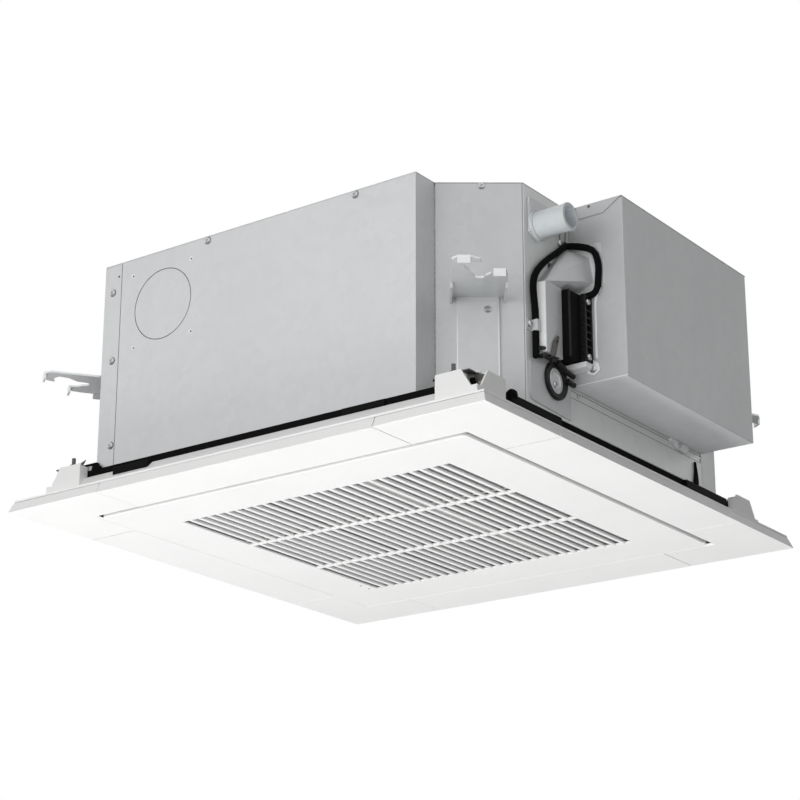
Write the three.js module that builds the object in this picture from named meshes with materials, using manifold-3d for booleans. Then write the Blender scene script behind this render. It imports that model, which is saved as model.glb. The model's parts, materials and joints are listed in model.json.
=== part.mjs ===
// Ceiling cassette air conditioner, in millimetres, +Z up.
// The origin is the centre of the ceiling cut-out, on the plane of the ceiling's lower face.
// The panel hangs below that plane and the casing stands above it.
// -Y is the side of the front cover, +X is the side of the electrical box and the drain socket.
import * as THREE from "three";
import { mergeVertices } from "three/addons/utils/BufferGeometryUtils.js";
import { ConvexGeometry } from "three/addons/geometries/ConvexGeometry.js";
import Module from "manifold-3d";

const wasm = await Module();
wasm.setup();

// ---------------------------------------------------------------- clearances
const TOUCH = 0.3; // between two pieces that rest on or beside each other
const SEAM = 1; // visible joint between flaps and corner covers
const RUNNING = 0.35; // round a pin or a shaft

// ---------------------------------------------------------------- panel
const PANEL = 700; // side of the square panel
const PANEL_DROP = 13; // panel face below the ceiling
const PANEL_WALL = 2.4; // moulded plastic wall
const LIP_HEIGHT = 10.1; // outer lip of flaps and corner covers
const LIP_LEAN = 5.2; // how far the lip leans in at its top
const OPENING_INSET = 88; // clear square opening for the intake air, in from the panel's edge
const DUCT_WALL_TOP = 22; // top of the wall round the intake opening
const UPSTAND_MARGIN = 14; // the raised rim's reach past the casing's side faces
const UPSTAND_TOP = 12;
const PLATFORM_MARGIN = 2; // the same for the platform that carries the foam seal
const PLATFORM_WIDTH = 20;
const PLATFORM_TOP = 24.3;
const CORNER_SPAN = 148; // end of a flap, from the panel's corner
const FLAP_WIDTH = 76.5;
const OUTLET_INSET = 38; // outlet's outer edge, in from the panel's edge
const OUTLET_WIDTH = 28;
const OUTLET_END = 12; // its end, in from the flap's end
const FLAP_PIN_R = 2;
const FLAP_PIVOT_INSET = 7.5; // from the flap's inner edge
const FLAP_PIVOT_DROP = 6.5; // below the ceiling
const FLAP_RIB = 3; // stiffening ribs along the flap
const LUG = 4; // thickness of the bearing lugs
const LUG_WIDTH = 8;
const FIN_LENGTH = 55; // corner fins, measured from the upstand's outer corner
const FIN_TOP = 40;
const FIN_STEP = 19; // top of the fin at the corner
const FIN_STEP_END = 8;
const FIN_SLOPE_END = 21;
const PAD_TOP = 38; // pads that the panel bolts stand on
const BOLT_R = 2.5;
const BOLT_HEAD_R = 5.5;
const BOLT_INSET = 36; // from the rim's corner, along the front and back sides
const BOLT_HEAD = 4;
const BOLT_LENGTH = 13;
const BOLT_PLATE = 1.5; // square plate under the bolt's head
const BOLT_PLATE_SIDE = 30;
const BOLT_PLATE_START = 12; // from the upstand's outer corner
const BOSS_R = 5;
const MOTOR_R = 10.5; // flap motors
const MOTOR_LENGTH = 15;
const MOTOR_RISE = 7.5; // the can's axis above the flap's axis
const MOTOR_EAR = 2.4;
const MOTOR_EAR_REACH = 22;

// ---------------------------------------------------------------- grille and filter
const GRILLE_INSET = 79.5; // its edge, in from the panel's edge
const GRILLE_R = 8;
const GRILLE_DROP = 18; // its face below the ceiling
const GRILLE_FACE = 3.4;
const GRILLE_SKIRT = 2.2;
const GRILLE_SKIRT_TOP = 3.2; // below the ceiling
const SLOT_COUNT = 28;
const SLOT_MARGIN_X = 68; // from the grille's edge
const SLOT_MARGIN_Y = 70.5;
const SLOT_WIDTH = 9.2;
const SLOT_RIB = 6;
const SLOT_COLUMNS = 3;
const FILTER_INSET = 32.5; // its edge, in from the grille's edge
const FILTER_BORDER = 10;
const FILTER_THICK = 4.5;
const FILTER_CELLS = 3;
const FILTER_BAR = 4;
const LATCH_SPACING = 240;
const LATCH_WIDTH = 20;
const LATCH_TONGUE = 6.5; // reach over the frame
const LATCH_WALL = 2.5;
const LATCH_BASE = 12;

// ---------------------------------------------------------------- casing
const CASE_TOP = 302;
const CASE_BOTTOM = 34;
const CASE_INSET_X = 46; // side faces, in from the panel's edge
const CASE_INSET_Y = 54; // front and back faces
const STEP_DEPTH = 36; // how far the front and back fields stand proud of the corners
const CHAMFER_WIDTH = 82; // chamfered corner, along x and along y
const CHAMFER_DEPTH = 60;
const SHEET = 1.2; // sheet steel
const LIP = 10; // folded edges of the covers
const FRONT_SEAM_PAST = 7; // left edge of the front cover, past the front field
const FRONT_POST_WIDTH = 28;
const SIDE_POST_WIDTH = 35;
const POST_DEPTH = 56.5; // depth at which the posts stop short of the hook legs
const POST_BACK_DEPTH = 39.5;
const KNOCKOUT_R = 46;
const KNOCKOUT_INSET = 63; // its centre, in from the edge of the front field
const KNOCKOUT_Z = 230.5;
const KNOCKOUT_GROOVE = 0.6;

// ---------------------------------------------------------------- suspension hooks
const HOOK_LEVEL = 159; // underside of the hook plate
const HOOK_SHEET = 2.5;
const HOOK_WIDTH = 63;
const HOOK_LEG_WIDTH = 48;
const HOOK_LEG_BOTTOM = 62;
const HOOK_START = 17; // along the chamfer, from its front edge
const HOOK_LONG_ARM = 117;
const HOOK_LONG_TIP = [6, 20]; // level end of the long arm, across the plate
const HOOK_SHORT_ARM = 80;
const HOOK_SHORT_TIP = [46, 60];
// Outline of the hook plate: across it, and out from the corner plate. The rod's slot is 13 wide.
const HOOK_OUTLINE = [
  [0, 0.3],
  [HOOK_WIDTH, 0.3],
  [HOOK_WIDTH, 62],
  [60, HOOK_SHORT_ARM],
  [46, HOOK_SHORT_ARM],
  [44, 70],
  [38, 64],
  [36.5, 58.5],
  [31.5, 57],
  [26.5, 58.5],
  [25, 64],
  [25, 72],
  [15, 86],
  [13, 98],
  [22, 103],
  [33, 100],
  [31, HOOK_LONG_ARM - 7],
  [20, HOOK_LONG_ARM],
  [6, HOOK_LONG_ARM],
  [0, HOOK_LONG_ARM - 7],
];
const HOOK_TAB = 7;
const HOOK_TAB_LENGTH = 47;

// ---------------------------------------------------------------- inside the casing
const LINER_TOP = 299;
const LINER = 12; // foam insulation
const LINER_GAP = 0.5;
const PAN_TOP = 76;
const PAN_SLOT_END = 15; // air slots in the pan: in from the outlet's end
const PAN_SLOT_INSET = 11; // in from the front face
const PAN_SLOT_WIDTH = 23;
const TROUGH_INSIDE = 9; // free width of the trough on either side of the coil
const TROUGH_OUTSIDE = 4;
const TROUGH_FLOOR = 50;
const EYE_LAP = 8; // the fan's eye past the bell mouth's throat
const MOUTH_SPREAD = 34; // the bell mouth's foot past its throat
const MOUTH_FLANGE = 21;
const MOUTH_TOP = 72;
const MOUTH_WALL = 2;
// Flare of the bell mouth: out from the throat, and below its top.
const MOUTH_FLARE = [
  [0, 0],
  [1, 8],
  [7, 18],
  [20, 28],
];
const FAN_CLEARANCE = 17; // between the fan and the coil
const FAN_EYE_INSET = 32;
const FAN_BOTTOM = 76;
const FAN_TOP = 204;
const FAN_BLADES = 7;
const FAN_SHEET = 3;
const FAN_HUB_R = 22;
const BLADE_START = 0.62; // inner end of the blades, as a share of the fan's radius
const BLADE_SWEEP = -0.6; // radians that a blade lags behind at its outer end
const BLADE_STEPS = 5;
const BLADE_FOOT = 0.22; // lower edge of the blades, as a share of the fan's height
const SHROUD_RIM = 0.27;
const SHAFT_R = 5;
const MOTOR_CAN_R = 62;
const MOTOR_CAN_BOTTOM = 214;
const MOTOR_CAN_TOP = 272;
const MOUNT_R = 40;
const MOUNT_FLANGE_R = 58;
const MOUNT_FLANGE = 4;
const MOUNT_TOP = 300.5;
const COIL_INSET = 51; // the coil's outer face, in from the front face
const COIL_DEPTH = 38;
const COIL_R = 60;
const COIL_BOTTOM = 50.3;
const COIL_TOP = 286.7;
const COIL_GAP = 115; // the coil is open round the near corner, from its outer faces

// ---------------------------------------------------------------- pipes and drain
const GAS_R = 6.35;
const LIQUID_R = 3.2;
const GAS_ASIDE = 17; // in front of the electrical box
const GAS_Z = 206;
const LIQUID_ASIDE = 37;
const LIQUID_Z = 195;
const PIPE_REACH = 9; // pipe ends, out from the casing
const NUT_LENGTH = 9;
const NUT_SHARE = 1.45; // nut radius over pipe radius
const HATCH_ASIDE = 3; // opening in the side plate for the pipes
const HATCH_WIDTH = 44;
const HATCH_BOTTOM = 186;
const HATCH_TOP = 220;
const DRAIN_INSET = 24; // from the front edge of the side face
const DRAIN_Z = 255;
const DRAIN_R = 16;
const DRAIN_BORE_R = 13;
const DRAIN_LENGTH = 48.6; // out from the casing
const DRAIN_PLATE = 2.7;
// Outline of the drain's wall plate, in y and z from the bore.
const DRAIN_PLATE_OUTLINE = [
  [-16, -12],
  [6, -19],
  [33, -2],
  [33, 24],
  [20, 31],
  [-16, 31],
];
const HOSE_R = 9;
const PUMP_INSET = 82; // from the side face
const PUMP_R = 22;
const PUMP_BOTTOM = 82;
const PUMP_TOP = 156;
const NOZZLE_R = 6;
const NOZZLE = 10;
const WHEEL_BOTTOM = 56;
const PUMP_WHEEL_R = 14;
const PUMP_WHEEL = 14;
const PUMP_SHAFT_R = 2.5;
const FLOAT_ASIDE = 38; // from the end of the coil
const FLOAT_INSET = 23; // from the trough's outer wall
const FLOAT_BOTTOM = 56.3;
const FLOAT_R = 11;
const FLOAT_HEIGHT = 14;
const STEM_R = 3;
const STEM_TOP = 120;
const STEM_COLLAR = 2;

// ---------------------------------------------------------------- electrical box
const BOX_DEPTH = 74; // out from the casing
const BOX_INSET = 97; // its near side, from the front edge of the side face
const BOX_BOTTOM = 79;
const BOX_LID_SKIRT = 16;
const BOX_LID_SKIRT_START = 12; // from the casing
const BOX_LID_TAPER = 0.35; // slanted end of the skirt, as a share of the box's depth
const BOX_LID_EDGE = 3;
const BOARD_STANDOFF = 8;
const BOARD = 1.6;
const BOARD_WIDTH = 170;
const BOARD_HEIGHT = 120;
const BOARD_Z = 150;
const TERMINAL_DEPTH = 34;
const TERMINAL_LENGTH = 90;
const TERMINAL_HEIGHT = 26;
const TERMINAL_INSET = 8; // from the box's far end
const ENTRY_REACH = 16.6; // ribbed block, in front of the pipe cover's channel
const ENTRY_HEIGHT = 82;
const ENTRY_Z = 102;
const ENTRY_GROOVES = 5;
const CLAMP_R = 22.5;
const CLAMP_BORE_R = 12;
const CLAMP_THICK = 5;
const CLAMP_ASIDE = 39; // in front of the electrical box
const CLAMP_Z = 75.7;

// ---------------------------------------------------------------- pipe cover
const COVER_WIDTH = 73; // its front edge, in front of the electrical box
const COVER_DEPTH = 13; // channel, out from the casing
const COVER_CHANNEL_WIDTH = 33;
const COVER_BOTTOM = 99;
const COVER_CHANNEL_HEIGHT = 86;
const COVER_APEX = 246.5;
const COVER_APEX_WIDTH = 14; // upper end of the hood's slanted edge on the side plate
const COVER_REACH = 33; // hood, out from the casing
const COVER_LEAN = 5;
const COVER_OUT_TOP = 234;
const COVER_OUT_LOW = 203;
const COVER_WALL = 1.5;
const FOAM = 8; // foam strip round the cover
// Its route on the side plate, in front of the electrical box and up.
const FOAM_RISE = [
  [82, 91],
  [82, 142],
  [83, 188],
  [28, 239],
  [9, 251.5],
];
// Its route across the box, out from the casing and up.
const FOAM_FALL = [
  [34, 241],
  [41.5, 224],
  [40.5, 193.5],
];

// ---------------------------------------------------------------- derived
const half = (size) => size / 2;
const OUTER = half(PANEL);
const LEVEL_FACE = -PANEL_DROP;
const LIP_TOP = LEVEL_FACE + LIP_HEIGHT;
const FRAME_OPENING = PANEL - 2 * OPENING_INSET;
const FLAP_LENGTH = PANEL - 2 * CORNER_SPAN;
const FLAP_INNER = OUTER - FLAP_WIDTH;
const FLAP_PIVOT_OUT = FLAP_INNER + FLAP_PIVOT_INSET;
const CORNER_START = half(FLAP_LENGTH) + SEAM;
const OUTLET_LENGTH = FLAP_LENGTH - 2 * OUTLET_END;
const OUTLET_OUTER = OUTER - OUTLET_INSET;
const OUTLET_INNER = OUTLET_OUTER - OUTLET_WIDTH;
const GRILLE = PANEL - 2 * GRILLE_INSET;
const SLOT_FIELD_X = GRILLE - 2 * SLOT_MARGIN_X;
const SLOT_FIELD_Y = GRILLE - 2 * SLOT_MARGIN_Y;
const FILTER = GRILLE - 2 * FILTER_INSET;
const CASE_HALF_X = OUTER - CASE_INSET_X;
const CASE_HALF_Y = OUTER - CASE_INSET_Y;
const TRAY_HALF = CASE_HALF_X - CHAMFER_WIDTH; // half width of the front and back fields
const STEP_Y = CASE_HALF_Y - STEP_DEPTH;
const CHAMFER_Y = STEP_Y - CHAMFER_DEPTH;
const UPSTAND = 2 * (CASE_HALF_X + UPSTAND_MARGIN);
const PLATFORM = 2 * (CASE_HALF_X + PLATFORM_MARGIN);
const PLATFORM_INNER = PLATFORM - 2 * PLATFORM_WIDTH;
const FRONT_SEAM = TRAY_HALF + FRONT_SEAM_PAST;
const FRONT_POST = FRONT_SEAM + FRONT_POST_WIDTH;
const SIDE_SEAM = CHAMFER_Y - SEAM;
const SIDE_POST = SIDE_SEAM + SIDE_POST_WIDTH;
const POST_BACK = CASE_HALF_Y - POST_DEPTH;
const POST_BACK_X = CASE_HALF_X - POST_BACK_DEPTH;
const KNOCKOUT_X = KNOCKOUT_INSET - TRAY_HALF;
const PAN_BOTTOM = CASE_BOTTOM + SHEET + TOUCH;
const PAN_SLOT_LENGTH = OUTLET_LENGTH - 2 * PAN_SLOT_END;
const PAN_SLOT_OUTER = CASE_HALF_Y - PAN_SLOT_INSET;
const PAN_SLOT_INNER = PAN_SLOT_OUTER - PAN_SLOT_WIDTH;
const COIL_OUT = CASE_HALF_Y - COIL_INSET; // from the centre line
const COIL_IN = COIL_OUT - COIL_DEPTH;
const COIL_END = COIL_OUT - COIL_GAP;
const TROUGH_IN = COIL_IN - TROUGH_INSIDE;
const TROUGH_OUT = COIL_OUT + TROUGH_OUTSIDE;
const FAN_R = COIL_IN - FAN_CLEARANCE;
const FAN_EYE_R = FAN_R - FAN_EYE_INSET;
const THROAT_R = FAN_EYE_R - EYE_LAP;
const MOUTH_R = THROAT_R + MOUTH_SPREAD;
const DRAIN_Y = DRAIN_INSET - CHAMFER_Y;
const DRAIN_END_X = CASE_HALF_X + DRAIN_LENGTH;
const PUMP_X = CASE_HALF_X - PUMP_INSET;
const PUMP_Y = DRAIN_Y;
const FLOAT_X = COIL_END + FLOAT_ASIDE;
const FLOAT_Y = FLOAT_INSET - TROUGH_OUT;
const BOX_NEAR = BOX_INSET - CHAMFER_Y;
const BOX_FAR = SIDE_SEAM - SEAM;
const BOX_OUT = CASE_HALF_X + BOX_DEPTH;
const PIPE_END_X = CASE_HALF_X + PIPE_REACH;
const GAS_Y = BOX_NEAR - GAS_ASIDE;
const LIQUID_Y = BOX_NEAR - LIQUID_ASIDE;
const HATCH_BACK = BOX_NEAR - HATCH_ASIDE;
const HATCH_FRONT = HATCH_BACK - HATCH_WIDTH;
const CLAMP_Y = BOX_NEAR - CLAMP_ASIDE;
const TERMINAL_END = BOX_FAR - TERMINAL_INSET;
const COVER_EDGE_Y = BOX_NEAR - COVER_WIDTH;
const COVER_CHANNEL_Y = COVER_EDGE_Y + COVER_CHANNEL_WIDTH;
const COVER_APEX_Y = BOX_NEAR - COVER_APEX_WIDTH;
const COVER_SHOULDER = COVER_BOTTOM + COVER_CHANNEL_HEIGHT;
const COVER_FRONT_X = CASE_HALF_X + COVER_DEPTH;
const COVER_OUT_X = CASE_HALF_X + COVER_REACH;
const FAR = 1000; // larger than the whole object, for cutting tools
const ROUND = 24; // segments on small round pieces
const FINE = 48; // segments on large round pieces

// ---------------------------------------------------------------- solids
function solidOf(geometry) {
  const flat = geometry.index ? geometry.toNonIndexed() : geometry;
  const bare = new THREE.BufferGeometry();
  bare.setAttribute("position", flat.getAttribute("position"));
  const merged = mergeVertices(bare, 1e-3);
  return new wasm.Manifold(
    new wasm.Mesh({
      numProp: 3,
      vertProperties: merged.attributes.position.array,
      triVerts: new Uint32Array(merged.index.array),
    }),
  );
}

function geometryOf(solid) {
  const mesh = solid.getMesh();
  const geometry = new THREE.BufferGeometry();
  geometry.setAttribute("position", new THREE.BufferAttribute(mesh.vertProperties, 3));
  geometry.setIndex(new THREE.BufferAttribute(mesh.triVerts, 1));
  return geometry;
}

const join = (...pieces) => geometryOf(pieces.map(solidOf).reduce((a, b) => a.add(b)));
const cut = (piece, ...tools) =>
  geometryOf(tools.map(solidOf).reduce((a, b) => a.subtract(b), solidOf(piece)));
const common = (a, b) => geometryOf(solidOf(a).intersect(solidOf(b)));

function block(x, y, z) {
  const [size, middle] = [0, 1].map((pick) =>
    [x, y, z].map(([low, high]) => (pick ? half(low + high) : high - low)),
  );
  return new THREE.BoxGeometry(...size).translate(...middle);
}

function outline(points) {
  return new THREE.Shape(points.map(([x, y]) => new THREE.Vector2(x, y)));
}

// A plan outline, drawn in x and y, from one level up to another.
function prism(points, low, high, holes = []) {
  const shape = outline(points);
  holes.forEach((hole) => shape.holes.push(outline(hole)));
  const options = { depth: high - low, bevelEnabled: false, curveSegments: ROUND };
  return new THREE.ExtrudeGeometry(shape, options).translate(0, 0, low);
}

// A section drawn in y and z, from one x to another.
function prismAlongX(points, low, high) {
  return prism(points, low, high)
    .rotateX(Math.PI / 2)
    .rotateZ(Math.PI / 2);
}

// A section drawn in x and z, from one y to another.
function prismAlongY(points, low, high) {
  return prism(points, -high, -low).rotateX(Math.PI / 2);
}

function counterClockwise(points) {
  const area = points.reduce((sum, [x, y], i) => {
    const [nx, ny] = points[(i + 1) % points.length];
    return sum + x * ny - nx * y;
  }, 0);
  return area > 0 ? points : [...points].reverse();
}

// A closed section in radius and z, turned about a vertical axis.
function revolve(points, segments = FINE, x = 0, y = 0) {
  const ring = counterClockwise(points);
  const closed = [...ring, ring[0]].map(([r, z]) => new THREE.Vector2(r, z));
  return new THREE.LatheGeometry(closed, segments).rotateX(Math.PI / 2).translate(x, y, 0);
}

// The same section swept round a square: its radius is the distance to the flat side.
function squareRing(points) {
  const stretched = points.map(([r, z]) => [r * Math.SQRT2, z]);
  return revolve(stretched, 4).rotateZ(Math.PI / 4);
}

function rod(radius, from, to, sides = ROUND) {
  const a = new THREE.Vector3(...from);
  const b = new THREE.Vector3(...to);
  const turn = new THREE.Quaternion().setFromUnitVectors(
    new THREE.Vector3(0, 1, 0),
    b.clone().sub(a).normalize(),
  );
  const geometry = new THREE.CylinderGeometry(radius, radius, a.distanceTo(b), sides);
  return geometry.applyQuaternion(turn).translate(...a.add(b).multiplyScalar(0.5));
}

function tube(points, radius, steps, sides = 12) {
  const path = new THREE.CatmullRomCurve3(points.map((p) => new THREE.Vector3(...p)));
  const ring = Array.from({ length: sides }, (_, i) => {
    const angle = (2 * Math.PI * i) / sides;
    return [radius * Math.cos(angle), radius * Math.sin(angle)];
  });
  const options = { extrudePath: path, steps, bevelEnabled: false };
  return new THREE.ExtrudeGeometry(outline(ring), options);
}

function roundedSquare(halfWidth, radius) {
  const points = [];
  const steps = 6;
  [0, 1, 2, 3].forEach((quarter) => {
    const [cx, cy] = [
      [1, 1],
      [-1, 1],
      [-1, -1],
      [1, -1],
    ][quarter].map((sign) => sign * (halfWidth - radius));
    for (let i = 0; i <= steps; i++) {
      const angle = (Math.PI / 2) * (quarter + i / steps);
      points.push([cx + radius * Math.cos(angle), cy + radius * Math.sin(angle)]);
    }
  });
  return points;
}

function circle(x, y, radius, sides = ROUND) {
  return Array.from({ length: sides }, (_, i) => {
    const angle = (2 * Math.PI * i) / sides;
    return [x + radius * Math.cos(angle), y + radius * Math.sin(angle)];
  });
}

// Shrinks a counter-clockwise outline by moving each edge inwards.
function inset(points, distance) {
  const edges = points.map(([x, y], i) => {
    const [nx, ny] = points[(i + 1) % points.length];
    const length = Math.hypot(nx - x, ny - y);
    const [dx, dy] = [(nx - x) / length, (ny - y) / length];
    return { x: x - dy * distance, y: y + dx * distance, dx, dy };
  });
  return edges.map((edge, i) => {
    const last = edges[(i + edges.length - 1) % edges.length];
    const cross = last.dx * edge.dy - last.dy * edge.dx;
    const along = ((edge.x - last.x) * edge.dy - (edge.y - last.y) * edge.dx) / cross;
    return [last.x + last.dx * along, last.y + last.dy * along];
  });
}

const quarterTurn = (geometry, quarter) => geometry.clone().rotateZ((Math.PI / 2) * quarter);
const fourTimes = (geometry) => [0, 1, 2, 3].map((quarter) => quarterTurn(geometry, quarter));

// ---------------------------------------------------------------- materials
const finish = (color, roughness, metalness = 0, opacity = 1) =>
  new THREE.MeshStandardMaterial({
    color,
    roughness,
    metalness,
    opacity,
    transparent: opacity < 1,
  });
const PANEL_WHITE = [0xf4f4f1, 0.42];
const SLOT_GREY = [0xb9b4b3, 0.6];
const GALVANISED = [0xc4c7c9, 0.42, 0.75];
const ZINC = [0xb4bcc0, 0.3, 0.9];
const BLACK_FOAM = [0x161616, 0.95];
const BLACK_PLASTIC = [0x1d1d1e, 0.5];
const WHITE_FOAM = [0xeceae2, 0.85];
const CLEAR_PLASTIC = [0xdfe6ea, 0.3, 0, 0.85];
const COPPER = [0xb8734a, 0.3, 0.9];
const FIN_ALUMINIUM = [0xc9ccd0, 0.4, 0.8];
const BOARD_GREEN = [0x2f5d3a, 0.5];

const assembly = new THREE.Group();

function add(name, geometry, look, parent = assembly) {
  const mesh = new THREE.Mesh(geometry, finish(...look));
  mesh.name = name;
  parent.add(mesh);
  return mesh;
}

// ---------------------------------------------------------------- panel frame
const SIDES = ["front", "right", "back", "left"]; // quarter turns from the front, seen from above
const CORNERS = ["near", "right", "far", "left"]; // (+,-) (+,+) (-,+) (-,-)
const lugAt = half(FLAP_LENGTH) + SEAM + half(SEAM);
const flapAxis = [-FLAP_PIVOT_OUT, -FLAP_PIVOT_DROP];
const motorStart = lugAt + LUG + TOUCH;
const lipInside = OUTER - LIP_LEAN;
const flangeOut = lipInside - half(SEAM);
const flangeBottom = -PANEL_WALL;
const frameInner = half(FRAME_OPENING);

function frameSection() {
  const rim = half(UPSTAND);
  const platformOut = half(PLATFORM);
  const platformIn = half(PLATFORM_INNER);
  return [
    [frameInner, flangeBottom],
    [flangeOut, flangeBottom],
    [flangeOut, 0],
    [rim, 0],
    [rim, UPSTAND_TOP],
    [platformOut, PLATFORM_TOP],
    [platformIn, PLATFORM_TOP],
    [platformIn, PLATFORM_TOP - PANEL_WALL],
    [platformOut - half(PANEL_WALL), PLATFORM_TOP - PANEL_WALL],
    [rim - PANEL_WALL, UPSTAND_TOP - half(PANEL_WALL)],
    [rim - PANEL_WALL, 0],
    [frameInner + PANEL_WALL, 0],
    [frameInner + PANEL_WALL, DUCT_WALL_TOP],
    [frameInner, DUCT_WALL_TOP],
  ];
}

// Corner fin standing on the rim at the near corner, along the front side.
function cornerFin() {
  const rim = half(UPSTAND);
  const section = [
    [rim, UPSTAND_TOP - PANEL_WALL],
    [rim, FIN_STEP],
    [rim - FIN_STEP_END, FIN_STEP],
    [rim - FIN_SLOPE_END, FIN_TOP],
    [rim - FIN_LENGTH, FIN_TOP],
    [rim - FIN_LENGTH, UPSTAND_TOP - PANEL_WALL],
  ];
  return prismAlongY(section, -rim, -rim + PANEL_WALL);
}

function bearingLug() {
  const span = [lugAt, lugAt + LUG];
  const lug = block(
    span,
    [-FLAP_PIVOT_OUT - half(LUG_WIDTH), -FLAP_PIVOT_OUT + half(LUG_WIDTH)],
    [-FLAP_PIVOT_DROP - FLAP_PIN_R - 2 * RUNNING - half(SEAM), flangeBottom + half(PANEL_WALL)],
  );
  const bore = rod(
    FLAP_PIN_R + RUNNING,
    [span[0] - SEAM, ...flapAxis],
    [span[1] + SEAM, ...flapAxis],
  );
  return cut(lug, bore);
}

const mirrorX = (geometry) => {
  const flipped = geometryOf(solidOf(geometry));
  flipped.scale(-1, 1, 1);
  const index = flipped.index.array;
  for (let i = 0; i < index.length; i += 3) {
    [index[i + 1], index[i + 2]] = [index[i + 2], index[i + 1]];
  }
  return flipped;
};

// Pad behind the fin, for the panel bolt. The corner itself stays open.
function cornerPad() {
  const rim = half(UPSTAND);
  const inner = half(PLATFORM) - half(PANEL_WALL);
  const ring = squareRing([
    [inner, PLATFORM_TOP - half(PANEL_WALL)],
    [rim - half(PANEL_WALL), UPSTAND_TOP],
    [rim - half(PANEL_WALL), PAD_TOP],
    [inner, PAD_TOP],
  ]);
  const along = [rim - FIN_LENGTH, rim - FIN_SLOPE_END];
  return common(ring, block(along, [-rim, 0], [0, FAR]));
}

function panelFrame() {
  const ring = squareRing(frameSection());
  const outlet = block(
    [-half(OUTLET_LENGTH), half(OUTLET_LENGTH)],
    [-OUTLET_OUTER, -OUTLET_INNER],
    [flangeBottom - SEAM, SEAM],
  );
  const motorBay = block(
    [motorStart - SEAM, motorStart + MOTOR_LENGTH + MOTOR_EAR + SEAM],
    [-FLAP_PIVOT_OUT - MOTOR_R - SEAM, -FLAP_PIVOT_OUT + MOTOR_R + SEAM],
    [flangeBottom - SEAM, SEAM],
  );
  const latchWindows = [-1, 1].map((side) =>
    block(
      [-1, 1].map((edge) => half(side * LATCH_SPACING) + edge * (half(LATCH_WIDTH) + SEAM)),
      [frameInner - SEAM, frameInner + PANEL_WALL + SEAM],
      [0, 2 * LATCH_WALL],
    ),
  );
  const lugs = [bearingLug(), mirrorX(bearingLug())];
  const fins = [cornerFin(), cornerPad()].flatMap((piece) => [piece, mirrorX(piece)]);
  const body = join(ring, ...[...lugs, ...fins].flatMap(fourTimes));
  return cut(body, ...fourTimes(outlet), ...fourTimes(motorBay), ...latchWindows);
}

add("panel_frame", panelFrame(), PANEL_WHITE);

// ---------------------------------------------------------------- flaps and corner covers
// One square skin, cut into four flaps and four corner covers.
const skin = squareRing([
  [FLAP_INNER, LEVEL_FACE],
  [OUTER, LEVEL_FACE],
  [lipInside, LIP_TOP],
  [lipInside - PANEL_WALL, LIP_TOP],
  [OUTER - 1.5 * PANEL_WALL, LEVEL_FACE + PANEL_WALL],
  [FLAP_INNER, LEVEL_FACE + PANEL_WALL],
]);

function flap() {
  const end = half(FLAP_LENGTH);
  const plate = common(skin, block([-end, end], [-FAR, 0], [-FAR, FAR]));
  const inside = LEVEL_FACE + half(PANEL_WALL);
  const arm = block(
    [end - 2 * FLAP_RIB, end],
    [-FLAP_PIVOT_OUT - FLAP_RIB, -FLAP_PIVOT_OUT + FLAP_RIB],
    [inside, -FLAP_PIVOT_DROP + FLAP_PIN_R],
  );
  const pin = rod(FLAP_PIN_R, [end - FLAP_RIB, ...flapAxis], [lugAt + LUG, ...flapAxis]);
  const ribY = -half(OUTLET_INNER + OUTLET_OUTER);
  const rib = block(
    [-half(OUTLET_LENGTH), half(OUTLET_LENGTH)],
    [ribY - half(FLAP_RIB), ribY + half(FLAP_RIB)],
    [inside, LEVEL_FACE + PANEL_WALL + FLAP_RIB],
  );
  return join(plate, rib, arm, mirrorX(arm), pin, mirrorX(pin));
}

function cornerCover() {
  const plate = common(skin, block([CORNER_START, FAR], [-FAR, -CORNER_START], [-FAR, FAR]));
  const middle = half(FLAP_INNER + OUTER) - PANEL_WALL - BOSS_R;
  const boss = rod(
    BOSS_R,
    [middle, -middle, LEVEL_FACE + half(PANEL_WALL)],
    [middle, -middle, flangeBottom - TOUCH],
  );
  return join(plate, boss);
}

function flapMotor() {
  const canZ = MOTOR_RISE - FLAP_PIVOT_DROP;
  const can = rod(
    MOTOR_R,
    [motorStart, -FLAP_PIVOT_OUT, canZ],
    [motorStart + MOTOR_LENGTH, -FLAP_PIVOT_OUT, canZ],
  );
  const ear = block(
    [motorStart, motorStart + MOTOR_EAR],
    [-FLAP_PIVOT_OUT - MOTOR_EAR_REACH + LUG, -FLAP_PIVOT_OUT + MOTOR_R],
    [TOUCH, canZ + MOTOR_R - LUG],
  );
  return join(can, ear);
}

SIDES.forEach((side, quarter) => {
  add("flap_" + side, quarterTurn(flap(), quarter), PANEL_WHITE);
  add("flap_motor_" + side, quarterTurn(flapMotor(), quarter), BLACK_PLASTIC);
});
CORNERS.forEach((corner, quarter) => {
  add("corner_cover_" + corner, quarterTurn(cornerCover(), quarter), PANEL_WHITE);
});

// ---------------------------------------------------------------- panel bolts and foam seal
function panelBolt() {
  const corner = half(UPSTAND);
  const wall = -corner + PANEL_WALL + TOUCH;
  const x = corner - BOLT_INSET;
  const y = wall + BOLT_HEAD_R;
  const foot = PAD_TOP + TOUCH;
  const plate = block(
    [corner - BOLT_PLATE_START - BOLT_PLATE_SIDE, corner - BOLT_PLATE_START],
    [wall, wall + BOLT_PLATE_SIDE],
    [foot, foot + BOLT_PLATE],
  );
  const head = rod(BOLT_HEAD_R, [x, y, foot + half(BOLT_PLATE)], [x, y, foot + BOLT_HEAD], 6);
  const shank = rod(BOLT_R, [x, y, foot + half(BOLT_PLATE)], [x, y, foot + BOLT_LENGTH], 12);
  return join(plate, head, shank);
}

// Signs of x and y of each corner, in the order of CORNERS.
const CORNER_SIGNS = [
  [1, 1],
  [1, -1],
  [-1, -1],
  [-1, 1],
];

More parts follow.
